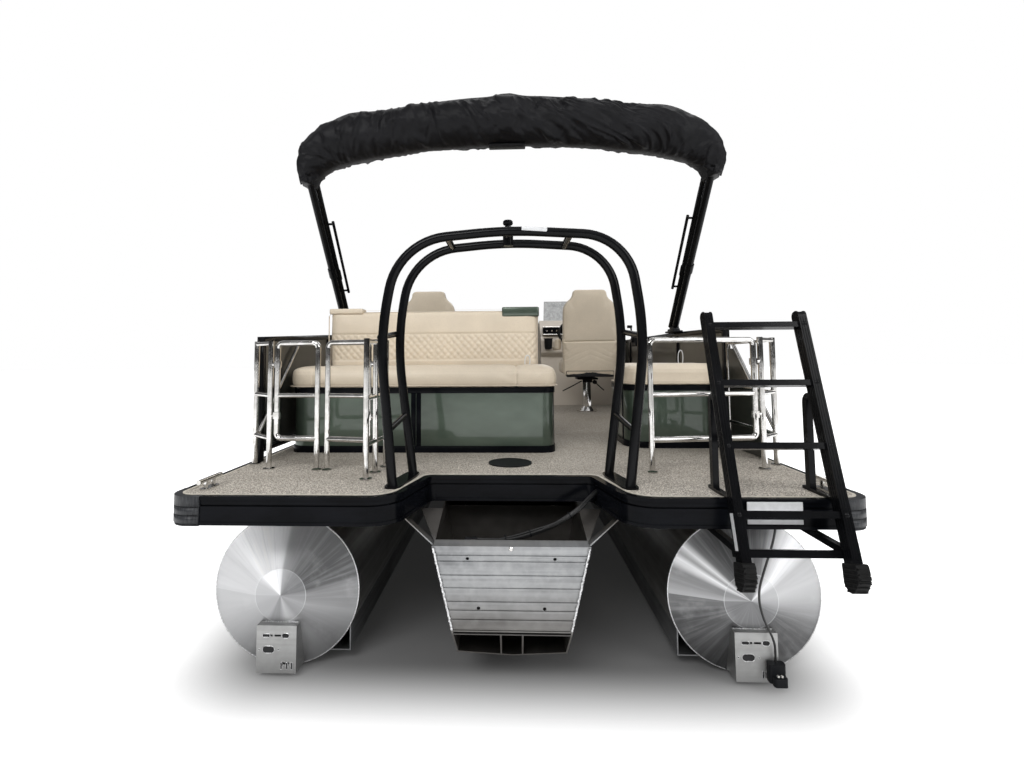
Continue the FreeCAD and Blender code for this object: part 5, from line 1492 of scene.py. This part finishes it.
knobRows = [(0, 0.006), (hood["knobSize"] * 0.7, 0.0055), (hood["knobSize"], 0.001), (hood["knobSize"], -0.004),
            (0, -0.004)]
dashKnobs = [lathe(knobRows, (x, hoodAft - 0.001, sum(hood["z"]) / 2), (0, -1, 0), 20) for x in hood["knobs"]]
addPiece("dashKnobs", joined(dashKnobs), "steel")


def byConsole(place):
    return place[0], consoleLow.y + place[1], place[2]


addPiece("drinkHolder", lathe(holder["rows"], byConsole(holder["place"]), (0, 0, 1), 32), "moulded")
addPiece("drinkHolderArm", softBox(*(byConsole(corner) for corner in holder["arm"]), 0.004, 2), "moulded")
kick = softBox((consoleLow.x - 0.004, consoleLow.y + 0.052, deckTop + 0.070),
               (consoleHigh.x, consoleLow.y + 0.066, deckTop + 0.078), 0.002, 2)
addPiece("consoleTrim", kick, "label")
gaugePlaces = [(x, hoodAft + hood["depth"] * 0.55, hood["z"][1] + 0.004) for x in hood["gauges"]]
gauges = [lathe(hood["gaugeRows"], place, (0, 0, 1), 28) for place in gaugePlaces]
addPiece("gauges", joined(gauges), "moulded")
print("console dressed")


# Ladder: fluted channels, tread ribs, rivets, ribbed shoes and blank plates
ladder = dict(lean=16.8, y=-0.047, left=(0.767, 0.799), right=(1.126, 1.158), half=0.025, low=-0.190, high=0.715,
              top=0.668,
              pitch=0.232, steps=4, tread=(0.017, 0.022), flutes=(-0.009, 0.0, 0.009),
              sideFlutes=(-0.012, 0.0, 0.012),
              treadRibs=(-0.012, -0.004, 0.004, 0.012), rib=0.0016, rivet=0.0085, label=(-0.155, -0.035),
              shoes=((0.761, 0.802), (1.123, 1.164)), plates=((0.756, 0.793), (0.715, 0.731)),
              plateAcross=(0.845, 1.040),
              shoeRibs=((-0.207, -0.0415, 0.034), (-0.221, -0.0415, 0.037), (-0.235, -0.0415, 0.041),
                        (-0.249, -0.036, 0.043),
                        (-0.263, -0.022, 0.043), (-0.277, -0.007, 0.036)))
ladderTurn = Matrix.Translation((0, ladder["y"] + aftEdge,
                                 deckTop)) @ Matrix.Rotation(math.radians(-ladder["lean"]), 4, "X")


def onLadder(form):
    bmesh.ops.transform(form, matrix=ladderTurn, verts=form.verts)
    return form


def dressLadder():
    ribs, rivets, tread = [], [], []
    wide, half, low, high = ladder["rib"], ladder["half"], ladder["low"], ladder["high"]
    for left, right in (ladder["left"], ladder["right"]):
        middle = (left + right) / 2
        for offset in ladder["flutes"]:
            ribs.append(softBox((middle + offset - wide, -half - 0.0016, low + 0.01),
                                (middle + offset + wide, -half + 0.001, high - 0.03), 0.0007, 1))
        for x in (left, right):
            for v in ladder["sideFlutes"]:
                ribs.append(softBox((x - 0.0014, v - wide, low + 0.01), (x + 0.0014, v + wide, high - 0.03),
                                    0.0006, 1))
        for index in range(ladder["steps"]):
            s = ladder["top"] - index * ladder["pitch"] - ladder["tread"][1] / 2
            rivets.append(lathe([(0, 0.004), (0.005, 0.0035), (ladder["rivet"], 0.0008), (ladder["rivet"], -0.002),
                                 (0, -0.002)],
                                (middle, -half, s), (0, -1, 0), 16))
    for index in range(ladder["steps"]):
        s = ladder["top"] - index * ladder["pitch"]
        for v in ladder["treadRibs"]:
            tread.append(softBox((ladder["left"][1] + 0.002, v - 0.0018, s - 0.001),
                                 (ladder["right"][0] - 0.002, v + 0.0018, s + 0.0016), 0.0007, 1))
    addPiece("ladderFlutes", onLadder(joined(ribs + tread)), "powder", "ladder")
    addPiece("ladderRivets", onLadder(joined(rivets)), "powder", "ladder")
    grips = []
    for left, right in ladder["shoes"]:
        for s, near, far in ladder["shoeRibs"]:
            for x in (left, right):
                grips.append(softBox((x - 0.0022, near, s - 0.003), (x + 0.0022, far, s + 0.003), 0.0015, 1))
            grips.append(softBox((left + 0.004, near - 0.0042, s - 0.003),
                                 (right - 0.004, near + 0.002, s + 0.003), 0.0015, 1))
    addPiece("ladderShoeRibs", onLadder(joined(grips)), "grip", "ladder")
    side, (low, high) = ladder["left"][0], ladder["label"]
    label = softBox((side - 0.0022, -0.012, low), (side - 0.0010, 0.012, high), 0.0005, 1)
    addPiece("ladderLabel", onLadder(label), "label", "ladder")
    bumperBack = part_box("edge_bumper")[0].y
    left, right = ladder["plateAcross"]
    plates = [softBox((left, bumperBack - 0.0015, low), (right, bumperBack + 0.001, high), 0.0006, 1)
              for low, high in ladder["plates"]]
    addPiece("bumperPlates", joined(plates), "label")


dressLadder()


# Sonar brackets: slots and holes as dark insets of painted shade with bright rims, and the transducer's screws
def stadium(x, z, wide, tall, y, steps=8):
    radius = min(wide, tall) / 2
    reachX, reachZ = wide / 2 - radius, tall / 2 - radius
    points = []
    for quarter, (signX, signZ) in enumerate(((1, 1), (-1, 1), (-1, -1), (1, -1))):
        for step in range(steps + 1):
            angle = math.radians(90 * quarter + 90 * step / steps)
            points.append((x + signX * reachX + radius * math.cos(angle), y,
                           z + signZ * reachZ + radius * math.sin(angle)))
    return points


bracket = dict(wide=0.177, proud=0.0004, rim=0.0012, deep=0.0015,
               holes=((0.043, 0.150, 0.032, 0.014), (0.129, 0.150, 0.030, 0.020), (0.054, 0.094, 0.050, 0.028),
                      (0.012, 0.094, 0.007, 0.007), (0.098, 0.094, 0.007, 0.007), (0.112, 0.030, 0.007, 0.028),
                      (0.136, 0.030, 0.007, 0.028), (0.158, 0.030, 0.007, 0.028)),
               screw=((0, 0.003), (0.004, 0.0025), (0.0055, 0.0), (0.0055, -0.003), (0, -0.003)),
               screwsAt=((0.30, 0.62), (0.52, 0.62)))
holeShades, rims = [], []
for low, high in solidBoxes("sonar_brackets"):
    scale = (high.x - low.x) / bracket["wide"]
    for x, z, wide, tall in bracket["holes"]:
        slot = (low.x + x * scale, low.z + z, wide, tall, low.y - bracket["proud"])
        rims.append(bar(stadium(*slot), bracket["rim"], closed=True, sides=1))
        # each hole is a dark inset: painted shade where the hole opens
        hole = bmesh.new()
        hole.faces.new([hole.verts.new(place) for place in stadium(*slot, 5)])
        bmesh.ops.remove_doubles(hole, verts=hole.verts, dist=1e-5)
        thicken(hole, (0, bracket["deep"], 0))
        holeShades.append(hole)
addPiece("bracketHoleShades", joined(holeShades), "inside")
addPiece("bracketRims", joined(rims), "weld")
transLow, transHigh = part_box("sonar_transducer")
transSize = transHigh - transLow
screws = [lathe(bracket["screw"], (transLow.x + across * transSize.x, transLow.y - 0.0005,
                                   transLow.z + up * transSize.z), (0, -1, 0), 14) for across,
          up in bracket["screwsAt"]]
addPiece("transducerScrews", joined(screws), "steel")
print("ladder and brackets dressed")


# Floor and light
# floor is the dark colour under the boat, a painted shadow that fades to pale over across, aft and fore; glow is
# the faint emission left in that painted shadow
studio = dict(floor=(0.17, 0.17, 0.17), pale=(0.80, 0.80, 0.80), reach=60.0, across=(0.95, 1.78),
              aft=(2.90, 3.56), fore=(3.0, 3.7), glow=0.016, shine=0.85,
              lamps=(("keyLamp", (-3.7, -12.5, 9.0), (0, -1.5, 0.8), (7, 4.5), 900),
                     ("fillLamp", (8.2, -9.0, 6.0), (0, -1.0, 1.0), (6, 4.5), 430),
                     ("bowLamp", (3.0, 12.5, 9.5), (0, 0, 1.0), (9, 4.5), 360)))


def makeStage():
    bm = bmesh.new()
    bmesh.ops.create_grid(bm, x_segments=2, y_segments=2, size=studio["reach"])
    bmesh.ops.translate(bm, vec=(0, 0, cadLow.z - 0.002), verts=bm.verts)
    mesh = bpy.data.meshes.new("floor")
    bm.to_mesh(mesh)
    bm.free()
    floor = bpy.data.objects.new("floor", mesh)
    scene.collection.objects.link(floor)
    finish = Finish("studioFloor", studio["floor"], 0.9)
    mesh.materials.append(finish.material)
    x, y = finish.parts()[:2]
    seen = finish.add("ShaderNodeLightPath", output="Is Camera Ray")
    seen = seen + finish.add("ShaderNodeLightPath", output="Is Glossy Ray")
    # around is 0 under the boat and 1 away from it: the dark base colour and weaker glow under the boat paint the
    # boat's shadow on the floor
    around = x.size().ramp(*studio["across"])
    for beyond in ((y * -1).ramp(*studio["aft"]), y.ramp(*studio["fore"])):
        around = 1 - (1 - around) * (1 - beyond)
    finish.set("Base Color", finish.mix(around, studio["floor"], studio["pale"]))
    glow = seen.work("MINIMUM", seen, 1.0) * (around * studio["shine"] + studio["glow"])
    finish.shader.inputs["Emission Strength"].default_value = 1.0
    finish.set("Emission Color", finish.add("ShaderNodeCombineColor", None, {0: glow, 1: glow, 2: glow}))
    floor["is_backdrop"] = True


# Reflections see a grey sky with soft streaks, so that bright metal keeps its dark and light bands
sky = dict(stops=((0.0, 0.22), (0.46, 0.34), (0.52, 0.06), (0.64, 0.22), (0.78, 0.60), (1.0, 0.85)), blue=1.01,
           squash=(1, 1, 0.25), scale=2.4, detail=1.0, edges=(0.44, 0.54), strengths=(0.25, 1.15))


class Sky(Finish):
    def __init__(self, name):
        world = bpy.data.worlds.new(name)
        scene.world = world
        world.use_nodes = True
        self.tree = world.node_tree
        self.tree.nodes.clear()

    def finish(self, shader):
        out = self.tree.nodes.new("ShaderNodeOutputWorld")
        self.tree.links.new(shader.socket, out.inputs[0])


def makeSky():
    world = Sky("world")
    camera = world.add("ShaderNodeLightPath", output="Is Camera Ray")
    through = world.add("ShaderNodeLightPath", output="Is Transmission Ray")
    seen = world.add("ShaderNodeMath", {"operation": "ADD", "use_clamp": True}, {0: camera, 1: through})
    ahead = world.add("ShaderNodeTexCoord", output="Generated")
    height = world.parts(ahead)[2]
    stops = [(place, (level, level, level * sky["blue"])) for place, level in sky["stops"]]
    shade = world.add("ShaderNodeValToRGB", {"stops": stops}, {0: height * 0.5 + 0.5})
    squashed = world.add("ShaderNodeMapping", None, {"Vector": ahead, "Scale": sky["squash"]})
    noisy = world.add("ShaderNodeTexNoise", None,
                      {"Vector": squashed, "Scale": sky["scale"], "Detail": sky["detail"]})
    (low, high), (weak, strong) = sky["edges"], sky["strengths"]
    streaks = world.add("ShaderNodeMapRange", {"interpolation_type": "SMOOTHSTEP"},
                        {"Value": noisy, "From Min": low, "From Max": high, "To Min": weak, "To Max": strong})
    grey = world.add("ShaderNodeBackground", None, {0: shade, 1: streaks})
    white = world.add("ShaderNodeBackground", None, {0: (1, 1, 1, 1)})
    world.finish(world.add("ShaderNodeMixShader", None, {0: seen, 1: grey, 2: white}))


def addLamp(name, place, target, size, power):
    data = bpy.data.lights.new(name, "AREA")
    data.shape, data.size, data.size_y, data.energy = "RECTANGLE", size[0], size[1], power
    lamp = bpy.data.objects.new(name, data)
    lamp.location = place
    lamp.rotation_euler = (Vector(target) - Vector(place)).to_track_quat("-Z", "Y").to_euler()
    scene.collection.objects.link(lamp)


makeStage()
makeSky()
for lamp in studio["lamps"]:
    addLamp(*lamp)
print("stage made")

low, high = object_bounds()
